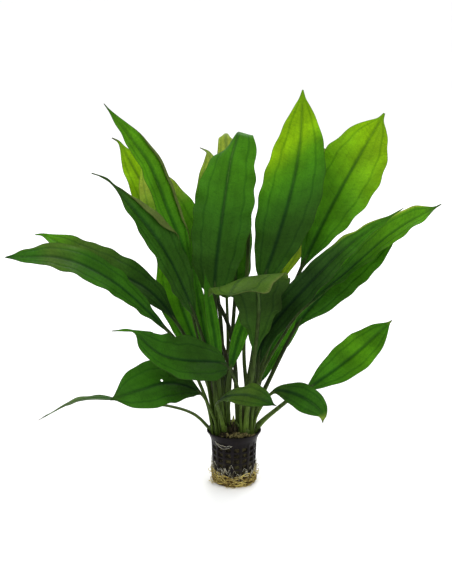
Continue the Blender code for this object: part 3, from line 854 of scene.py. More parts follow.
class SWORDPLANT_OT_leaves(bpy.types.Operator):
    """Build every leaf round its solid"""
    bl_idname = "sword_plant.leaves"
    bl_label = "Leaves"

    def execute(self, context):
        make_blade_material("leaf_upper", underside=False)
        make_blade_material("leaf_under", underside=True)
        make_stalk_material("leaf_stalk")
        for index, (node, look) in enumerate(LEAF_LOOKS.items()):
            make_leaf(node, look, index * GOLDEN)
        return {"FINISHED"}


# ---- Strands: thin roots and fibres ----

def smooth_route(points, steps=5):
    """Points read from a smooth curve through a route's own points."""
    points = np.array(points, float)
    stations = np.arange(len(points), dtype=float)
    wanted = np.linspace(0, len(points) - 1, (len(points) - 1) * steps + 1)
    return read_between(stations, points, wanted)


def strand_mesh(routes, radius, rounding=1):
    """One mesh of tapering strands, each a (points, thickness) pair along its route."""
    curve = bpy.data.curves.new("strands", "CURVE")
    curve.dimensions = "3D"
    curve.bevel_depth = radius
    curve.bevel_resolution = rounding
    curve.use_fill_caps = True
    for points, thickness in routes:
        spline = curve.splines.new("POLY")
        spline.points.add(len(points) - 1)
        fade = np.linspace(1.0, 0.35, len(points)) ** 0.8 * thickness
        for knot, point, width in zip(spline.points, points, fade):
            knot.co = (*point, 1.0)
            knot.radius = width
    mesh = shape_of(put_in_scene("strands", curve))
    bpy.data.curves.remove(curve)
    return mesh


def scattered(rng, count, draw, thickness, radius, steps=4, rounding=1, **options):
    """A mesh of strands on the routes that a function draws; it may leave some out."""
    routes = []
    for _ in range(count):
        points = draw(rng, **options)
        if points:
            routes.append((smooth_route(points, steps), rng.uniform(*thickness)))
    return strand_mesh(routes, radius, rounding)


def joined(meshes, alike=False):
    """Several meshes in one bmesh, each with its own material index unless they are alike."""
    whole = bmesh.new()
    for index, mesh in enumerate(meshes):
        count = len(whole.faces)
        whole.from_mesh(mesh)
        whole.faces.ensure_lookup_table()
        for face in whole.faces[count:]:
            face.material_index = 0 if alike else index
        bpy.data.meshes.remove(mesh)
    return whole


FibreLook = namedtuple("FibreLook", "pale dark scale roughness shine", defaults=(260, 0.7, 0.3))

# Root, husk and fibre skins: two colours, each as numbers or as a group and its setting, how
# fine the patches are, in 1/metres, how rough the skin is and how much it shines.
FIBRES = {
    "soil_crumbs": FibreLook((0.160, 0.138, 0.052), ("wool", "dark"), 300, 0.9, 0.1),
    "loose_fibre": FibreLook((0.300, 0.240, 0.095), ("wool", "dark")),
    "matted_root": FibreLook((0.085, 0.050, 0.012), (0.022, 0.013, 0.004), 300, 0.9, 0.1),
    "straw_root": FibreLook(("root", "straw"), (0.170, 0.115, 0.020)),
    "amber_root": FibreLook((0.330, 0.240, 0.045), ("root", "amber")),
    "white_root": FibreLook(("root", "white"), (0.250, 0.220, 0.110), 200, 0.5),
    "crown_stock": FibreLook(("crown", "stock"), ("crown", "dry"), 300),
    "dry_sheath": FibreLook((0.050, 0.040, 0.018), ("crown", "dry"), 240, 0.65),
    "green_sheath": FibreLook((0.085, 0.135, 0.028), (0.045, 0.070, 0.016), 180, 0.5),
    "sprout_green": FibreLook(("crown", "sprout"), (0.150, 0.190, 0.045), 260, 0.5),
    # Near black: painted shade on the rolled shoots that run up behind the blades.
    "shaded_stalk": FibreLook((0.034, 0.036, 0.011), (0.014, 0.015, 0.005), 120, 0.5, 0.1),
    "rolled_leaf": FibreLook((0.050, 0.088, 0.013), (0.028, 0.050, 0.009), 120, 0.5, 0.1),
}


def make_fibre_material(name):
    """Root or fibre skin: two colours in patches, each strand its own, with fine grain."""
    look = FIBRES[name]
    pale, dark = [getattr(settings(tone[0]), tone[1]) if tone[0] in GROUPS else tone
                  for tone in (look.pale, look.dark)]
    g = Finish(name)
    own = g.add("ShaderNodeNewGeometry").outputs["Random Per Island"]
    patch = g.step(g.grain(look.scale, 3), 0.35, 0.68)
    tone = g.mix(g.step(g.plus(own, patch), 0.4, 1.5), dark, pale)
    tone = g.mix(g.step(g.grain(2400, 2), 0.55, 0.75, 0.0, 0.5), tone, darker(dark, 0.4))
    normal = g.bump(g.grain(1500, 3), 0.0002, 0.6)
    return g.close(g.coat(tone, look.roughness, look.shine, normal))


# ---- Net pot, rock wool and roots ----

POT_LOW, POT_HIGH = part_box("net_pot")
RIM_RADIUS = POT_HIGH.x
COLLAR_DROP = 0.010             # from the rim down to where the collar begins
BODY_TOP_RADIUS = 0.0225
BODY_FOOT_RADIUS = 0.0210
WINDOW_COLUMNS = 16
WINDOW_ROWS = 5
WINDOW_SHARE = 0.62
WINDOW_HEIGHT = 0.0040
WINDOW_PITCH = 0.0060
LOWEST_WINDOW = 0.0140
WINDOW_SEGMENTS = 4
BAR_SEGMENTS = 3
BAR_SWELL = 0.0004
RIM_LIP = 0.0010                # how far the rim stands out past the flare
RIM_ROLL = ((0.0001, 0.0014), (0.0, 0.0004), (0.0004, 0.0))    # insets and drops of its edge
FLARE_DROP = 0.0016             # from the rim down to where the flare ends
FLARE_STEPS = 6
SILT_TONE = (0.040, 0.034, 0.016)
SILT_HEIGHTS = (0.010, 0.042)   # where the silt is thickest and where it ends
PLASTIC_SHINE = 0.06
COLLAR_LEAN = 0.0003            # how far the collar leans out besides its flare
WORN_PLASTIC = (0.0090, 0.0070, 0.0085)
MAT_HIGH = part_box("root_mat")[1]
WOOL_LOW, WOOL_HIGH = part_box("rock_wool")


def body_radius(height):
    """Outer radius of the pot's tapered body at a height."""
    collar = POT_HIGH.z - COLLAR_DROP
    share = (height - POT_LOW.z) / (collar - POT_LOW.z)
    return BODY_FOOT_RADIUS + share * (BODY_TOP_RADIUS - BODY_FOOT_RADIUS)


def extrude_ring(mesh_data, ring, places):
    """Extrude a closed ring of vertices once and move the new ring to places."""
    edges = [mesh_data.edges.get((a, b)) for a, b in zip(ring, ring[1:] + ring[:1])]
    made = bmesh.ops.extrude_edge_only(mesh_data, edges=edges)["geom"]
    fresh = {vert for vert in made if isinstance(vert, bmesh.types.BMVert)}
    next_ring = []
    for vert, place in zip(ring, places):
        new = next(edge.other_vert(vert) for edge in vert.link_edges
                   if edge.other_vert(vert) in fresh)
        next_ring.append(new)
        new.co = place
    return next_ring


def ring_places(radius, height, angles, swells=None):
    """Points of a level ring; swells push some of them outwards."""
    swells = swells or [0.0] * len(angles)
    return [polar(radius + swell, angle, height) for angle, swell in zip(angles, swells)]


def even_angles(count):
    """Angles spread evenly once round."""
    return [math.tau * step / count for step in range(count)]


def start_ring(mesh_data, places):
    """A closed ring of vertices at places, with a face across it."""
    ring = list(bmesh.ops.create_circle(mesh_data, cap_ends=True, segments=len(places),
                                        radius=1.0)["verts"])
    for vert, place in zip(ring, places):
        vert.co = place
    return ring


def pot_angles():
    """The pot's corners round its axis, whether a window starts there, and each bar's swell."""
    pitch = math.tau / WINDOW_COLUMNS
    window = [pitch * WINDOW_SHARE * step / WINDOW_SEGMENTS for step in range(WINDOW_SEGMENTS)]
    bar = [pitch * (WINDOW_SHARE + (1 - WINDOW_SHARE) * step / BAR_SEGMENTS)
           for step in range(BAR_SEGMENTS)]
    angles = [column * pitch + turn for column in range(WINDOW_COLUMNS) for turn in window + bar]
    open_side = ([True] * WINDOW_SEGMENTS + [False] * BAR_SEGMENTS) * WINDOW_COLUMNS
    swells = ([0.0] * (WINDOW_SEGMENTS + 1) + [BAR_SWELL] * (BAR_SEGMENTS - 1)) * WINDOW_COLUMNS
    return angles, open_side, swells


def make_pot_shell():
    """The pot's skin with its windows open, flared collar and rolled rim."""
    angles, open_side, swells = pot_angles()
    collar = POT_HIGH.z - COLLAR_DROP
    heights = [(POT_LOW.z, False)]
    for row in range(WINDOW_ROWS):
        sill = LOWEST_WINDOW + row * WINDOW_PITCH
        heights += [(sill, False), (sill + WINDOW_HEIGHT, True)]
    profile = [(body_radius(height), height, opening) for height, opening in heights]
    flare = 0.98 * (RIM_RADIUS - RIM_LIP - BODY_TOP_RADIUS)
    for step in range(FLARE_STEPS + 1):
        share = step / FLARE_STEPS
        profile.append((BODY_TOP_RADIUS + flare * smooth_step(share, -0.35, 1.3)
                        + COLLAR_LEAN * share,
                        collar + share * (COLLAR_DROP - FLARE_DROP), False))
    profile += [(RIM_RADIUS - inset, POT_HIGH.z - drop, False) for inset, drop in RIM_ROLL]
    mesh_data = bmesh.new()
    ring = start_ring(mesh_data, ring_places(*profile[0][:2], angles))
    windows = []
    for radius, height, opening in profile[1:]:
        bulge = swells if LOWEST_WINDOW <= height <= collar else None
        next_ring = extrude_ring(mesh_data, ring, ring_places(radius, height, angles, bulge))
        if opening:
            for side in [side for side, is_open in enumerate(open_side) if is_open]:
                corners = {ring[side], ring[side + 1], next_ring[side], next_ring[side + 1]}
                windows += [face for face in next_ring[side].link_faces
                            if set(face.verts) == corners]
        ring = next_ring
    bmesh.ops.delete(mesh_data, geom=windows, context="FACES")
    bmesh.ops.recalc_face_normals(mesh_data, faces=mesh_data.faces)
    return mesh_data


class SWORDPLANT_OT_net_pot(bpy.types.Operator):
    """Build the net pot with rounded bars and a rolled rim"""
    bl_idname = "sword_plant.net_pot"
    bl_label = "Net pot"

    def execute(self, context):
        sizes = settings("pot")
        make_plastic("black_plastic")
        pot = finish_piece("pot_basket", make_pot_shell(), ("black_plastic",),
                           ("net_pot",))
        wall = pot.modifiers.new("wall", "SOLIDIFY")
        wall.thickness = sizes.wall
        wall.offset = -1.0
        edges = pot.modifiers.new("edges", "BEVEL")
        edges.width = sizes.rounding
        edges.segments = 2
        edges.limit_method = "ANGLE"
        edges.angle_limit = math.radians(38)
        return {"FINISHED"}


def make_plastic(name):
    """Satin black moulding with fine scuffs and a dusting of silt low down."""
    g = Finish(name)
    height = g.parts(g.place())["Z"]
    silt = g.times(g.step(height, *SILT_HEIGHTS, 0.75, 0.10),
                   g.step(g.grain(330, 4, 0.65), 0.45, 0.70))
    tone = g.mix(g.step(g.grain(90, 3), 0.3, 0.7), settings("pot").plastic, WORN_PLASTIC)
    tone = g.mix(silt, tone, SILT_TONE)
    scuffs = g.grain(520, 4, 0.7, g.place((1.0, 1.0, 0.25)))
    gloss = g.step(scuffs, 0.3, 0.75, 0.30, 0.52)
    rough = g.sum("ADD", gloss, g.times(silt, 0.35), clamp=True)
    return g.close(g.coat(tone, rough, PLASTIC_SHINE, g.bump(scuffs, 0.00015, 0.5)))


ROUND_SEGMENTS = 120            # round the plug and the mat
PLUG_INSET = 0.0016             # from the pot's outside to the wool
PLUG_SHOULDER = 0.0025          # how far the plug's top rises from its edge
PLUG_TOP = 0.003                # how far below its highest point the plug's top begins
SIDE_INSET = 0.0006             # how far in its side lies, and how rough that is
SIDE_ROUGHNESS = 0.0005
PLUG_LEVELS = 26
PLUG_RINGS = 22


def make_plug():
    """The rock wool's plug: a rough cylinder with a lumpy, slightly domed top."""
    angles = even_angles(ROUND_SEGMENTS)
    edge = WOOL_HIGH.x
    profile = [(body_radius(WOOL_LOW.z) - PLUG_INSET, WOOL_LOW.z)]
    for step in range(1, PLUG_LEVELS + 1):
        height = WOOL_LOW.z + (WOOL_HIGH.z - PLUG_SHOULDER - WOOL_LOW.z) * step / PLUG_LEVELS
        profile.append((min(body_radius(height) - PLUG_INSET, edge), height))
    for step in range(1, PLUG_RINGS):
        share = step / PLUG_RINGS
        profile.append((edge * (1 - share), WOOL_HIGH.z - PLUG_SHOULDER * (1 - share) ** 3))
    mesh_data = bmesh.new()
    ring = start_ring(mesh_data, ring_places(*profile[0], angles))
    for radius, height in profile[1:]:
        ring = extrude_ring(mesh_data, ring, ring_places(radius, height, angles))
    bmesh.ops.contextual_create(mesh_data, geom=ring)
    top = WOOL_HIGH.z - PLUG_TOP
    for vert in mesh_data.verts:
        rough = noise.fractal(vert.co * 420, 0.9, 2.0, 4)
        lumps = noise.noise(vert.co * 190 + Vector((3.1, 0.7, 5.0)))
        if vert.co.z > top:
            vert.co.z += settings("wool").lump * (0.75 * lumps + 0.5 * rough) + mound(vert.co)
        else:
            flat = Vector((vert.co.x, vert.co.y, 0.0)).normalized()
            vert.co -= flat * (SIDE_INSET + SIDE_ROUGHNESS * (lumps + rough))
    bmesh.ops.recalc_face_normals(mesh_data, faces=mesh_data.faces)
    return mesh_data


def mound(place):
    """How much higher than its flat top the wool is at a place."""
    beside = np.clip((abs(place.y) / WOOL_HIGH.x - 0.30) / 0.35, 0.0, 1.0)
    inside = np.clip((1 - place.to_2d().length / WOOL_HIGH.x) / 0.15, 0.0, 1.0)
    return settings("wool").mound * beside * inside


def scatter_on_wool(rng, margin=0.0):
    """A random place on the plug's top."""
    angle = rng.uniform(0, math.tau)
    radius = (WOOL_HIGH.x + margin) * math.sqrt(rng.uniform(0.0, 1.0))
    place = polar(radius, angle, WOOL_HIGH.z)
    place.z += mound(place)
    return place


CLUMP_RADII = (0.0016, 0.0046)
CLUMP_MARGIN = -0.001           # how far out from the plug's edge clumps may lie


def make_clumps(rng):
    """Loose tufts of wool and soil on the plug."""
    mesh_data = bmesh.new()
    for _ in range(settings("wool").clumps):
        place = scatter_on_wool(rng, CLUMP_MARGIN)
        size = rng.uniform(*CLUMP_RADII)
        made = bmesh.ops.create_icosphere(mesh_data, subdivisions=3, radius=size)["verts"]
        shift = Vector(rng.uniform(-9, 9, 3))
        flat = rng.uniform(0.45, 0.8)
        for vert in made:
            swell = 1 + 0.65 * noise.fractal(vert.co * 420 + shift, 0.8, 2.0, 3)
            vert.co = Vector((vert.co.x * swell, vert.co.y * swell, vert.co.z * swell * flat))
        bmesh.ops.translate(mesh_data, verts=made,
                            vec=place + Vector((0, 0, size * flat * 0.35)))
    return mesh_data


FIBRE_RADIUS = 0.00013
FIBRE_LENGTHS = (0.002, 0.007)
FIBRE_HEIGHTS = (-0.0005, 0.0020)


def fibre_route(rng):
    """A fine fibre that lies about on the plug's top."""
    place = scatter_on_wool(rng) + Vector((0, 0, rng.uniform(*FIBRE_HEIGHTS)))
    heading = rng.uniform(0, math.tau)
    reach = rng.uniform(*FIBRE_LENGTHS)
    points = []
    for _ in range(4):
        points.append(place[:])
        heading += rng.normal(0, 0.7)
        place = place + polar(1.0, heading, rng.normal(0.05, 0.35)) * reach / 3
        flat = place.to_2d()
        if flat.length > WOOL_HIGH.x:
            flat *= WOOL_HIGH.x / flat.length
            place.x, place.y = flat
    return points


class SWORDPLANT_OT_rock_wool(bpy.types.Operator):
    """Build the rock wool plug with its clumps and loose fibres"""
    bl_idname = "sword_plant.rock_wool"
    bl_label = "Rock wool"

    def execute(self, context):
        rng = np.random.default_rng(5)
        make_wool_material("rock_wool")
        finish_piece("wool_plug", make_plug(), ("rock_wool",), ("rock_wool",), crease=80)
        finish_piece("wool_clumps", make_clumps(rng), ("soil_crumbs",), crease=80)
        fibres = scattered(rng, settings("wool").fibres, fibre_route, (0.6, 1.3), FIBRE_RADIUS,
                           steps=3, rounding=0)
        finish_piece("wool_fibres", joined([fibres]), ("loose_fibre",))
        return {"FINISHED"}


MOSS_TONE = (0.060, 0.080, 0.020)


def make_wool_material(name):
    """Matted mineral fibre, tan in dry patches and nearly black where it is wet."""
    sizes = settings("wool")
    g = Finish(name)
    patch = g.step(g.grain(150, 4, 0.6), 0.42, 0.62)
    threads = g.grain(1300, 4, 0.7, g.place((1.0, 1.0, 2.2)), twist=2.5)
    tone = g.mix(patch, sizes.dark, sizes.pale)
    tone = g.mix(g.step(threads, 0.40, 0.66, 0.0, 0.75), tone, darker(sizes.dark, 0.25))
    tone = g.mix(g.step(g.grain(80, 2), 0.55, 0.75, 0.0, 0.35), tone, MOSS_TONE)
    return g.close(g.coat(tone, 0.92, 0.2, g.bump(threads, 0.0006, 0.9)))


def mat_edge(angle):
    """Height of the root mat's woven edge: low in front and behind, high at the sides."""
    wander = noise.noise(Vector((2.2 * math.cos(angle), 2.2 * math.sin(angle), 4.0)))
    return MAT_HIGH.z * (0.60 + 0.30 * abs(math.cos(angle)) ** 1.5 + 0.14 * wander)


MAT_TURN = 0.004                # height over which the woven skin turns in
MAT_TUCK = 0.0022               # how far it turns in
MAT_INSET = 0.0007              # of its middle from the solid's outside


def mat_radius(height):
    """The woven skin's middle radius at a height: it turns in at the underside."""
    turn = max(0.0, 1 - height / MAT_TURN)
    return MAT_HIGH.x - MAT_INSET - MAT_TUCK * turn ** 2


MAT_FOOT_RADIUS = 0.0185        # of the backing's flat underside
EDGE_DROP = 0.0026              # of the backing's edge below the strands'
BACKING_LEVELS = 12
BACKING_FOOT = 0.0006           # height of the backing's underside
BACKING_START = 0.0008          # height where its wall begins
BACKING_DEPTH = 0.0004          # of the backing behind the strands
POT_GAP = 0.0002                # between the backing and the pot


def make_mat_backing():
    """The matted layer behind the strands: a cup with a ragged edge."""
    angles = even_angles(ROUND_SEGMENTS)
    mesh_data = bmesh.new()
    ring = start_ring(mesh_data, ring_places(MAT_FOOT_RADIUS, BACKING_FOOT, angles))
    for step in range(BACKING_LEVELS + 1):
        places = []
        for angle in angles:
            height = BACKING_START + (mat_edge(angle) - EDGE_DROP) * step / BACKING_LEVELS
            radius = mat_radius(height) - BACKING_DEPTH
            rough = noise.fractal(polar(radius, angle, height) * 600, 0.8, 2.0, 3)
            places.append(polar(radius + BACKING_DEPTH * rough, angle, height))
        ring = extrude_ring(mesh_data, ring, places)
    heights = [mat_edge(angle) - EDGE_DROP for angle in angles]
    inner = [polar(body_radius(height) + POT_GAP, angle, height)
             for angle, height in zip(angles, heights)]
    ring = extrude_ring(mesh_data, ring, inner)
    foot = body_radius(POT_LOW.z) + POT_GAP
    ring = extrude_ring(mesh_data, ring, ring_places(foot, POT_LOW.z - POT_GAP, angles))
    bmesh.ops.contextual_create(mesh_data, geom=ring)
    bmesh.ops.recalc_face_normals(mesh_data, faces=mesh_data.faces)
    return mesh_data


ROOT_GAP = 0.0006               # how far out from the pot roots begin to lie


def round_pot(angle, height, out):
    """A point out from the mat's or pot's surface at an angle and height."""
    on_mat = height < mat_edge(angle)
    radius = mat_radius(height) if on_mat else body_radius(height) + ROOT_GAP
    return polar(radius + out, angle, height)[:]


def bare_patch(angle, height):
    """Whether the dark backing shows here between the strands."""
    where = Vector((1.6 * math.cos(angle), 1.6 * math.sin(angle), height * 160))
    return noise.noise(where) > 0.0 and height < 0.85 * mat_edge(angle)


LOWEST_STRAND = 0.0004
UNDERSIDE_STRANDS = 90
UNDERSIDE_REACH = 0.0205        # how far out the underside's strands go
UNDERSIDE_STEP = 0.0035
UNDERSIDE_HEIGHTS = (0.0003, 0.0008)
WEAVE_DEPTH = 0.00035
WEAVE_LAYERS = (-0.0004, 0.0009)
WEAVE_WANDER = 0.0006           # how much a woven strand's climb changes
FRAY = 0.0006                   # how far above the mat's edge woven strands go
LOOSE_STAND_OUT = (0.0010, 0.0044)
LOOSE_GAP = 0.0004              # how far out a loose strand's ends lie
FLAT_WEAVE = 0.0005             # how steeply the two layers of woven strands climb
STEEP_WEAVE = 0.0012


def woven_route(rng, steep):
    """A root that runs round the pot's foot, over and under others; few in bare patches."""
    angle = rng.uniform(0, math.tau)
    height = mat_edge(angle) * rng.uniform(0.0, 1.0) ** 0.9 + LOWEST_STRAND
    if bare_patch(angle, height) and rng.uniform() < 0.9:
        return []
    turn = rng.choice((-1, 1)) * rng.uniform(0.05, 0.17)
    climb = rng.normal(0.0, steep)
    layer = rng.uniform(*WEAVE_LAYERS)
    points = []
    for step in range(int(rng.integers(5, 10))):
        weave = WEAVE_DEPTH * math.sin(step * 2.1 + angle * 5)
        points.append(round_pot(angle, height, layer + weave))
        angle += turn
        climb += rng.normal(0.0, WEAVE_WANDER)
        ceiling = mat_edge(angle) + FRAY
        height = min(max(height + climb, LOWEST_STRAND), ceiling)
        if height in (LOWEST_STRAND, ceiling):
            climb = -0.6 * climb
    return points


def loose_route(rng):
    """A root whose middle or end stands out from the mat in a short loop."""
    angle = rng.uniform(0, math.tau)
    height = mat_edge(angle) * rng.uniform(0.02, 1.15)
    turn = rng.choice((-1, 1)) * rng.uniform(0.03, 0.12)
    stand_out = rng.uniform(*LOOSE_STAND_OUT)
    points = []
    steps = int(rng.integers(4, 7))
    for step in range(steps):
        share = step / (steps - 1)
        bow = math.sin(math.pi * min(share * rng.uniform(0.8, 1.0), 1.0))
        out = LOOSE_GAP + stand_out * bow
        points.append(round_pot(angle, max(height, 0.0005), out))
        angle += turn + rng.normal(0.0, 0.02)
        height += rng.normal(-0.0004, 0.0013)
    return points


def underside_route(rng):
    """A root matted across the flat underside."""
    angle = rng.uniform(0, math.tau)
    place = polar(0.0200 * math.sqrt(rng.uniform(0.05, 1.0)), angle, 0.0)
    heading = rng.uniform(0, math.tau)
    points = []
    for _ in range(6):
        points.append((place.x, place.y, rng.uniform(*UNDERSIDE_HEIGHTS)))
        heading += rng.normal(0.0, 0.5)
        place += polar(1.0, heading, 0.0) * UNDERSIDE_STEP
        if place.length > UNDERSIDE_REACH:
            place *= UNDERSIDE_REACH / place.length
    return points


class SWORDPLANT_OT_root_mat(bpy.types.Operator):
    """Build the woven mat of straw-coloured roots round the pot's foot"""
    bl_idname = "sword_plant.root_mat"
    bl_label = "Root mat"

    def execute(self, context):
        sizes = settings("root")
        rng = np.random.default_rng(11)
        finish_piece("root_backing", make_mat_backing(), ("matted_root",),
                     ("root_mat",), crease=80)
        layers = [scattered(rng, sizes.strands // 2, woven_route, (0.4, 2.1), sizes.strand,
                            steep=steep) for steep in (FLAT_WEAVE, STEEP_WEAVE)]
        layers.append(scattered(rng, sizes.loose, loose_route, (0.5, 1.1), sizes.strand))
        finish_piece("woven_roots", joined(layers), ("straw_root", "amber_root", "straw_root"))
        under = scattered(rng, UNDERSIDE_STRANDS, underside_route, (0.5, 1.0), sizes.strand,
                          steps=3)
        finish_piece("underside_roots", joined([under]), ("straw_root",))
        return {"FINISHED"}


# Two young roots that loop across the front of the collar: (degrees from the front
# towards +X, height, distance out from the pot).
LOOPED_ROOTS = (
    ((-52, 0.0475, 0.0006), (-44, 0.0450, 0.0010), (-34, 0.0428, 0.0012),
     (-26, 0.0420, 0.0012), (-14, 0.0432, 0.0010), (-4, 0.0455, 0.0006)),
    ((-44, 0.0462, 0.0005), (-34, 0.0452, 0.0012), (-27, 0.0455, 0.0014),
     (-18, 0.0448, 0.0012), (-12, 0.0458, 0.0008), (-6, 0.0454, 0.0005)),
)
FRONT = -math.pi / 2
WHITE_ROOT_RADIUS = 0.00015
WHITE_ROOT_LOWEST = 0.010       # height of the lowest place where a white root comes out
WHITE_ROOT_SPREAD = 0.012       # height of the band that they come out of
WHITE_CLIMBS = (0.0020, 0.0060)
WHITE_FALLS = (0.0030, 0.0090)
LOWEST_TIP = 0.0035
LOOP_THICKNESS = 1.5            # of a looped root, as a share of a white root's


def make_white_roots(rng):
    """Young roots that leave the windows, bend over sharply and run down the outside."""
    routes = []
    for _ in range(settings("root").white_roots):
        angle = rng.uniform(0, math.tau)
        height = WHITE_ROOT_LOWEST + WHITE_ROOT_SPREAD * rng.uniform(0, 1) ** 1.2
        turn = rng.choice((-1, 1)) * rng.uniform(0.03, 0.13)
        climb = rng.uniform(*WHITE_CLIMBS)
        fall = rng.uniform(*WHITE_FALLS)
        low = max(height + climb - fall, LOWEST_TIP)
        points = [round_pot(angle, height, 0.0003),
                  round_pot(angle + 0.5 * turn, height + 0.55 * climb, 0.0010),
                  round_pot(angle + turn, height + climb, 0.0013),
                  round_pot(angle + rng.uniform(1.2, 1.7) * turn, (height + climb + low) / 2,
                            0.0011),
                  round_pot(angle + rng.uniform(1.4, 2.4) * turn, low, 0.0008)]
        routes.append((smooth_route(points, 3), rng.uniform(0.6, 1.1)))
    for route in LOOPED_ROOTS:
        points = [round_pot(FRONT + math.radians(side), height, out)
                  for side, height, out in route]
        routes.append((smooth_route(points, 5), LOOP_THICKNESS))
    return strand_mesh(routes, WHITE_ROOT_RADIUS)


class SWORDPLANT_OT_white_roots(bpy.types.Operator):
    """Build the young white roots on the pot's outside"""
    bl_idname = "sword_plant.white_roots"
    bl_label = "White roots"

    def execute(self, context):
        rng = np.random.default_rng(23)
        finish_piece("white_roots", joined([make_white_roots(rng)]), ("white_root",))
        return {"FINISHED"}


# ---- Crowns, dry sheaths and sprout ----

HUSKS = 12                      # dead leaf bases between the crowns
SHOOT_RADIUS = 0.0019
SHOOT_THICKNESS = 1.35          # at its foot, as a share of the radius
SHOOT_STEP = 0.0022             # between the feet of neighbouring rolled shoots
DEAD_HEIGHTS = (0.005, 0.011)
LIVING_HEIGHTS = (0.010, 0.022)
SHEATH_WIDTHS = (0.005, 0.008)
HUSK_RADIUS = 0.0025
HUSK_HEIGHTS = (0.008, 0.017)
HUSK_WIDTHS = (0.003, 0.005)
SHEATH_GAP = 0.0004             # how far out from its crown a sheath stands
SHEATH_HOLLOW = 0.0006          # how much nearer its margins are than its middle
SHEATH_RIPPLE = 0.0003
SHEATH_THICKNESS = 0.00035
LEAFLET_THICKNESS = 0.0004
LEAFLET_WIDTH = 0.0034
LEAFLET_STEP = 0.0012           # from one leaflet's foot to the next
LEAFLETS = ((-1, 0.015, -0.06), (0, 0.021, 0.03), (1, 0.017, 0.08))    # step, height, lean
SPROUT_FOOT = Vector((-0.0010, 0.0010, WOOL_HIGH.z))

# Unopened leaves, rolled up thin, that rise among the stalks: whether each is dark, its crown (0
# is the left one), and its route as (x, y, z). The dark ones are near black with painted shade,
# where they run up behind the blades.
ROLLED_SHOOTS = (
    (True, 1, ((0.009, 0.002, 0.078), (0.002, 0.004, 0.102), (-0.014, 0.010, 0.150),
               (-0.019, 0.018, 0.185), (-0.021, 0.026, 0.260))),
    (False, 0, ((-0.018, 0.004, 0.090), (-0.011, 0.008, 0.123), (0.007, 0.014, 0.167),
                (0.012, 0.022, 0.205), (0.014, 0.030, 0.260))),
    (True, 0, ((-0.020, 0.006, 0.090), (-0.021, 0.010, 0.130), (-0.019, 0.018, 0.175),
               (-0.017, 0.028, 0.255))),
    (False, 0, ((-0.009, 0.008, 0.085), (-0.006, 0.012, 0.135), (-0.007, 0.020, 0.180),
                (-0.010, 0.030, 0.270))),
    (False, 1, ((0.014, 0.008, 0.080), (0.010, 0.012, 0.130), (0.012, 0.020, 0.180),
                (0.016, 0.030, 0.270))),
    (True, 1, ((0.018, 0.010, 0.080), (0.024, 0.016, 0.125), (0.033, 0.024, 0.175),
               (0.040, 0.032, 0.235))),
    (False, 1, ((0.020, 0.006, 0.080), (0.021, 0.010, 0.120), (0.026, 0.018, 0.165),
                (0.030, 0.030, 0.235))),
)


def make_stock(node):
    """A crown's stock: a short knobbly dome."""
    low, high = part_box(node)
    middle = (low + high) / 2
    reach = (high - low).x / 2
    mesh_data = bmesh.new()
    made = bmesh.ops.create_icosphere(mesh_data, subdivisions=5, radius=1.0)["verts"]
    for vert in made:
        rough = noise.fractal(vert.co * 2.6 + middle * 90, 0.8, 2.0, 4)
        swell = 1 + 0.10 * rough
        flat = Vector((vert.co.x * reach, vert.co.y * reach, 0.0)) * swell * 0.96
        rise = (high.z - low.z) * 0.62 * vert.co.z * (1 + 0.25 * rough)
        vert.co = middle + flat + Vector((0, 0, rise))
    return mesh_data


def make_sheath(rng, middle, angle, reach, height, width):
    """One leaf base: a tapering scale that wraps round the stalks."""
    mesh_data = bmesh.new()
    across, along = grid_points(mesh_data, 8, 14)
    lean = rng.uniform(0.05, 0.30)
    curl = rng.uniform(-0.2, 0.2)
    for vert, u, v in zip(mesh_data.verts, across, along):
        half = width / 2 * (1 - v ** 2.2) ** 0.7 * (0.85 + 0.3 * v)
        way = angle + u * half / reach + curl * v * v
        out = reach + SHEATH_GAP + height * lean * v * v - SHEATH_HOLLOW * u * u
        out += SHEATH_RIPPLE * noise.noise(Vector((u * 2, v * 3, angle * 7)))
        vert.co = (middle.x + out * math.cos(way), middle.y + out * math.sin(way),
                   middle.z + height * v * (1 - 0.06 * u * u))
    bmesh.ops.solidify(mesh_data, geom=mesh_data.faces, thickness=SHEATH_THICKNESS)
    return as_mesh("sheath", mesh_data)


def make_sheaths(rng, node):
    """The dead and the living leaf bases round one crown."""
    low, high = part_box(node)
    middle = Vector(((low.x + high.x) / 2, (low.y + high.y) / 2, low.z))
    reach = (high.x - low.x) / 2
    count = settings("crown").sheaths
    dead, alive = [], []
    for index in range(count):
        angle = math.tau * (index + rng.uniform(-0.3, 0.3)) / count
        is_dead = index % 3 == 0
        height = rng.uniform(*(DEAD_HEIGHTS if is_dead else LIVING_HEIGHTS))
        (dead if is_dead else alive).append(make_sheath(
            rng, middle, angle, reach * rng.uniform(0.93, 1.02), height,
            rng.uniform(*SHEATH_WIDTHS)))
    return dead, alive


def make_husk(rng):
    """One dead leaf base on the wool between the crowns."""
    middle = Vector((rng.uniform(-0.003, 0.003), rng.uniform(-0.005, 0.001), WOOL_HIGH.z))
    return make_sheath(rng, middle, rng.uniform(0, math.tau), HUSK_RADIUS,
                       rng.uniform(*HUSK_HEIGHTS), rng.uniform(*HUSK_WIDTHS))


def make_rolled_shoots(dark):
    """The unopened leaves of one colour; the dark ones are near black with painted shade where
    they run behind the blades.
    """
    routes = []
    for index, (in_painted_shade, crown, route) in enumerate(ROLLED_SHOOTS):
        if in_painted_shade == dark:
            low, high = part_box(CROWNS[crown])
            foot = (low + high) / 2
            foot.x += SHOOT_STEP * ((index * 2) % 5 - 2)
            routes.append((smooth_route([foot[:], *route], 10), SHOOT_THICKNESS))
    return strand_mesh(routes, SHOOT_RADIUS, 3)


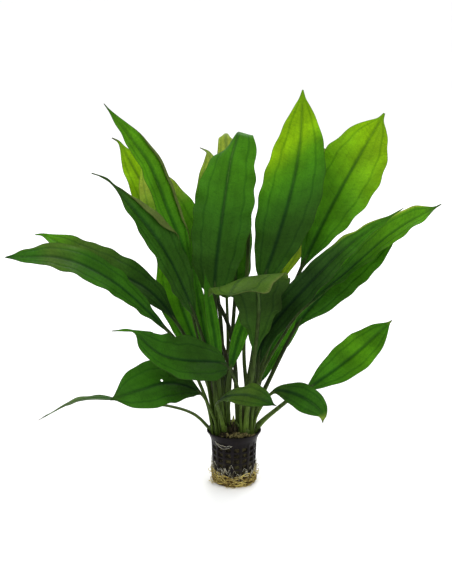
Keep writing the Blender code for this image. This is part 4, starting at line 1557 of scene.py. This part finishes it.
def make_shoot(foot, height, lean):
    """One pointed leaflet of the sprout."""
    mesh_data = bmesh.new()
    across, along = grid_points(mesh_data, 6, 16)
    for vert, u, v in zip(mesh_data.verts, across, along):
        half = LEAFLET_WIDTH / 2 * math.sin(math.pi * min(v * 0.9 + 0.1, 1.0)) ** 0.7
        bend = lean * v * v
        vert.co = (foot.x + u * half + bend * height, foot.y - 0.0010 * u * u + 0.0004 * v,
                   foot.z + height * v)
    bmesh.ops.solidify(mesh_data, geom=mesh_data.faces, thickness=LEAFLET_THICKNESS)
    return as_mesh("shoot", mesh_data)


class SWORDPLANT_OT_crowns(bpy.types.Operator):
    """Build both crowns, their leaf bases and the sprout between them"""
    bl_idname = "sword_plant.crowns"
    bl_label = "Crowns"

    def execute(self, context):
        rng = np.random.default_rng(31)
        for node in CROWNS:
            finish_piece(node.replace("crown_", "stock_"), make_stock(node), ("crown_stock",),
                         (node,), crease=80)
            dead, alive = make_sheaths(rng, node)
            finish_piece(node + "_dry_sheaths", joined(dead, alike=True), ("dry_sheath",),
                         crease=60)
            finish_piece(node + "_sheaths", joined(alive, alike=True), ("green_sheath",),
                         crease=60)
        shoots = [make_shoot(SPROUT_FOOT + Vector((step * LEAFLET_STEP, 0.0, 0.0)), height, lean)
                  for step, height, lean in LEAFLETS]
        husks = [make_husk(rng) for _ in range(HUSKS)]
        rolled = joined([make_rolled_shoots(False), make_rolled_shoots(True)])
        finish_piece("rolled_shoots", rolled, ("rolled_leaf", "shaded_stalk"))
        finish_piece("husks", joined(husks, alike=True), ("dry_sheath",), crease=60)
        finish_piece("sprout", joined(shoots, alike=True), ("sprout_green",), crease=60)
        return {"FINISHED"}


# ---- Stage ----

class SWORDPLANT_OT_stage(bpy.types.Operator):
    """Set up the floor, the soft studio light and the camera"""
    bl_idname = "sword_plant.stage"
    bl_label = "Stage"

    def execute(self, context):
        for thing in [thing for thing in bpy.data.objects if thing.type in {"LIGHT", "CAMERA"}
                      or thing.name == "Cube"]:
            bpy.data.objects.remove(thing)
        make_floor()
        make_lights()
        make_camera()
        context.scene.view_settings.view_transform = "Standard"
        return {"FINISHED"}


FLOOR_HALF_WIDTH = 6.0
SKY_STRENGTH = 1.08

# Soft square lights: name, place, size and power.
LIGHTS = (("key", (-0.7, -1.1, 1.5), 0.9, 12), ("fill", (1.3, -0.9, 0.8), 1.0, 4),
          ("behind", (0.3, 1.2, 1.3), 1.0, 14))


def make_floor():
    """A pale, level floor."""
    pale = settings("stage").floor
    g = Finish("floor_paint")
    tone = g.mix(g.step(g.grain(6, 2), 0.3, 0.7), pale, darker(pale, 0.985))
    mesh_data = bmesh.new()
    bmesh.ops.create_grid(mesh_data, x_segments=1, y_segments=1, size=FLOOR_HALF_WIDTH)
    mesh = as_mesh("floor", mesh_data)
    mesh.materials.append(g.close(g.coat(tone, 0.8)))
    floor = put_in_scene("floor", mesh)


def make_lights():
    """White surroundings, a large key above left, a fill on the right and one behind."""
    world = bpy.data.worlds.new("studio")
    world.use_nodes = True
    background = world.node_tree.nodes["Background"]
    background.inputs["Color"].default_value = (1.0, 1.0, 1.0, 1.0)
    background.inputs["Strength"].default_value = SKY_STRENGTH
    bpy.context.scene.world = world
    middle = (CAD_BOX[0] + CAD_BOX[1]) / 2
    for name, place, size, power in LIGHTS:
        data = bpy.data.lights.new(name, "AREA")
        data.size = size
        data.energy = power
        light = put_in_scene(name, data)
        light.location = place
        light.rotation_euler = (middle - Vector(place)).to_track_quat("-Z", "Y").to_euler()


def make_camera():
    """The camera, a little above the plant and looking down at it."""
    sizes = settings("stage")
    data = bpy.data.cameras.new("camera")
    data.sensor_width = 36.0
    data.lens = sizes.lens
    data.clip_start = 0.05
    data.clip_end = 20.0
    camera = put_in_scene("camera", data)
    camera.location = (sizes.camera_side, -sizes.camera_distance, sizes.camera_height)
    camera.rotation_euler = (math.pi / 2 - sizes.camera_tilt, 0.0, 0.0)
    bpy.context.scene.camera = camera


class SWORDPLANT_PT_panel(bpy.types.Panel):
    """Lists the plant's settings and the buttons that build its pieces"""
    bl_idname = "SWORDPLANT_PT_panel"
    bl_label = "Sword Plant"
    bl_space_type = "VIEW_3D"
    bl_region_type = "UI"
    bl_category = "Sword Plant"

    def draw(self, context):
        for operator in OPERATORS:
            self.layout.operator(operator.bl_idname)
        for name, group in GROUPS.items():
            box = self.layout.box()
            box.label(text=name.capitalize())
            for prop in group.__annotations__:
                box.prop(settings(name), prop)


OPERATORS = (SWORDPLANT_OT_stage, SWORDPLANT_OT_root_mat, SWORDPLANT_OT_net_pot,
             SWORDPLANT_OT_rock_wool, SWORDPLANT_OT_white_roots, SWORDPLANT_OT_crowns,
             SWORDPLANT_OT_leaves)
GROUPS = {"stage": StageSettings, "leaf": LeafSettings, "pot": PotSettings,
          "wool": WoolSettings, "root": RootSettings, "crown": CrownSettings}


def register():
    """Register the settings, the operators and the panel."""
    for name, group in GROUPS.items():
        bpy.utils.register_class(group)
        setattr(bpy.types.Scene, "sword_plant_" + name, PointerProperty(type=group))
    for thing in (*OPERATORS, SWORDPLANT_PT_panel):
        bpy.utils.register_class(thing)


def unregister():
    """Take all of them away again."""
    for thing in (SWORDPLANT_PT_panel, *reversed(OPERATORS)):
        bpy.utils.unregister_class(thing)
    for name, group in reversed(GROUPS.items()):
        delattr(bpy.types.Scene, "sword_plant_" + name)
        bpy.utils.unregister_class(group)


def main():
    """Build the whole scene."""
    register()
    for operator in OPERATORS:
        group, name = operator.bl_idname.split(".")
        getattr(getattr(bpy.ops, group), name)()


if __name__ == "__main__":
    main()
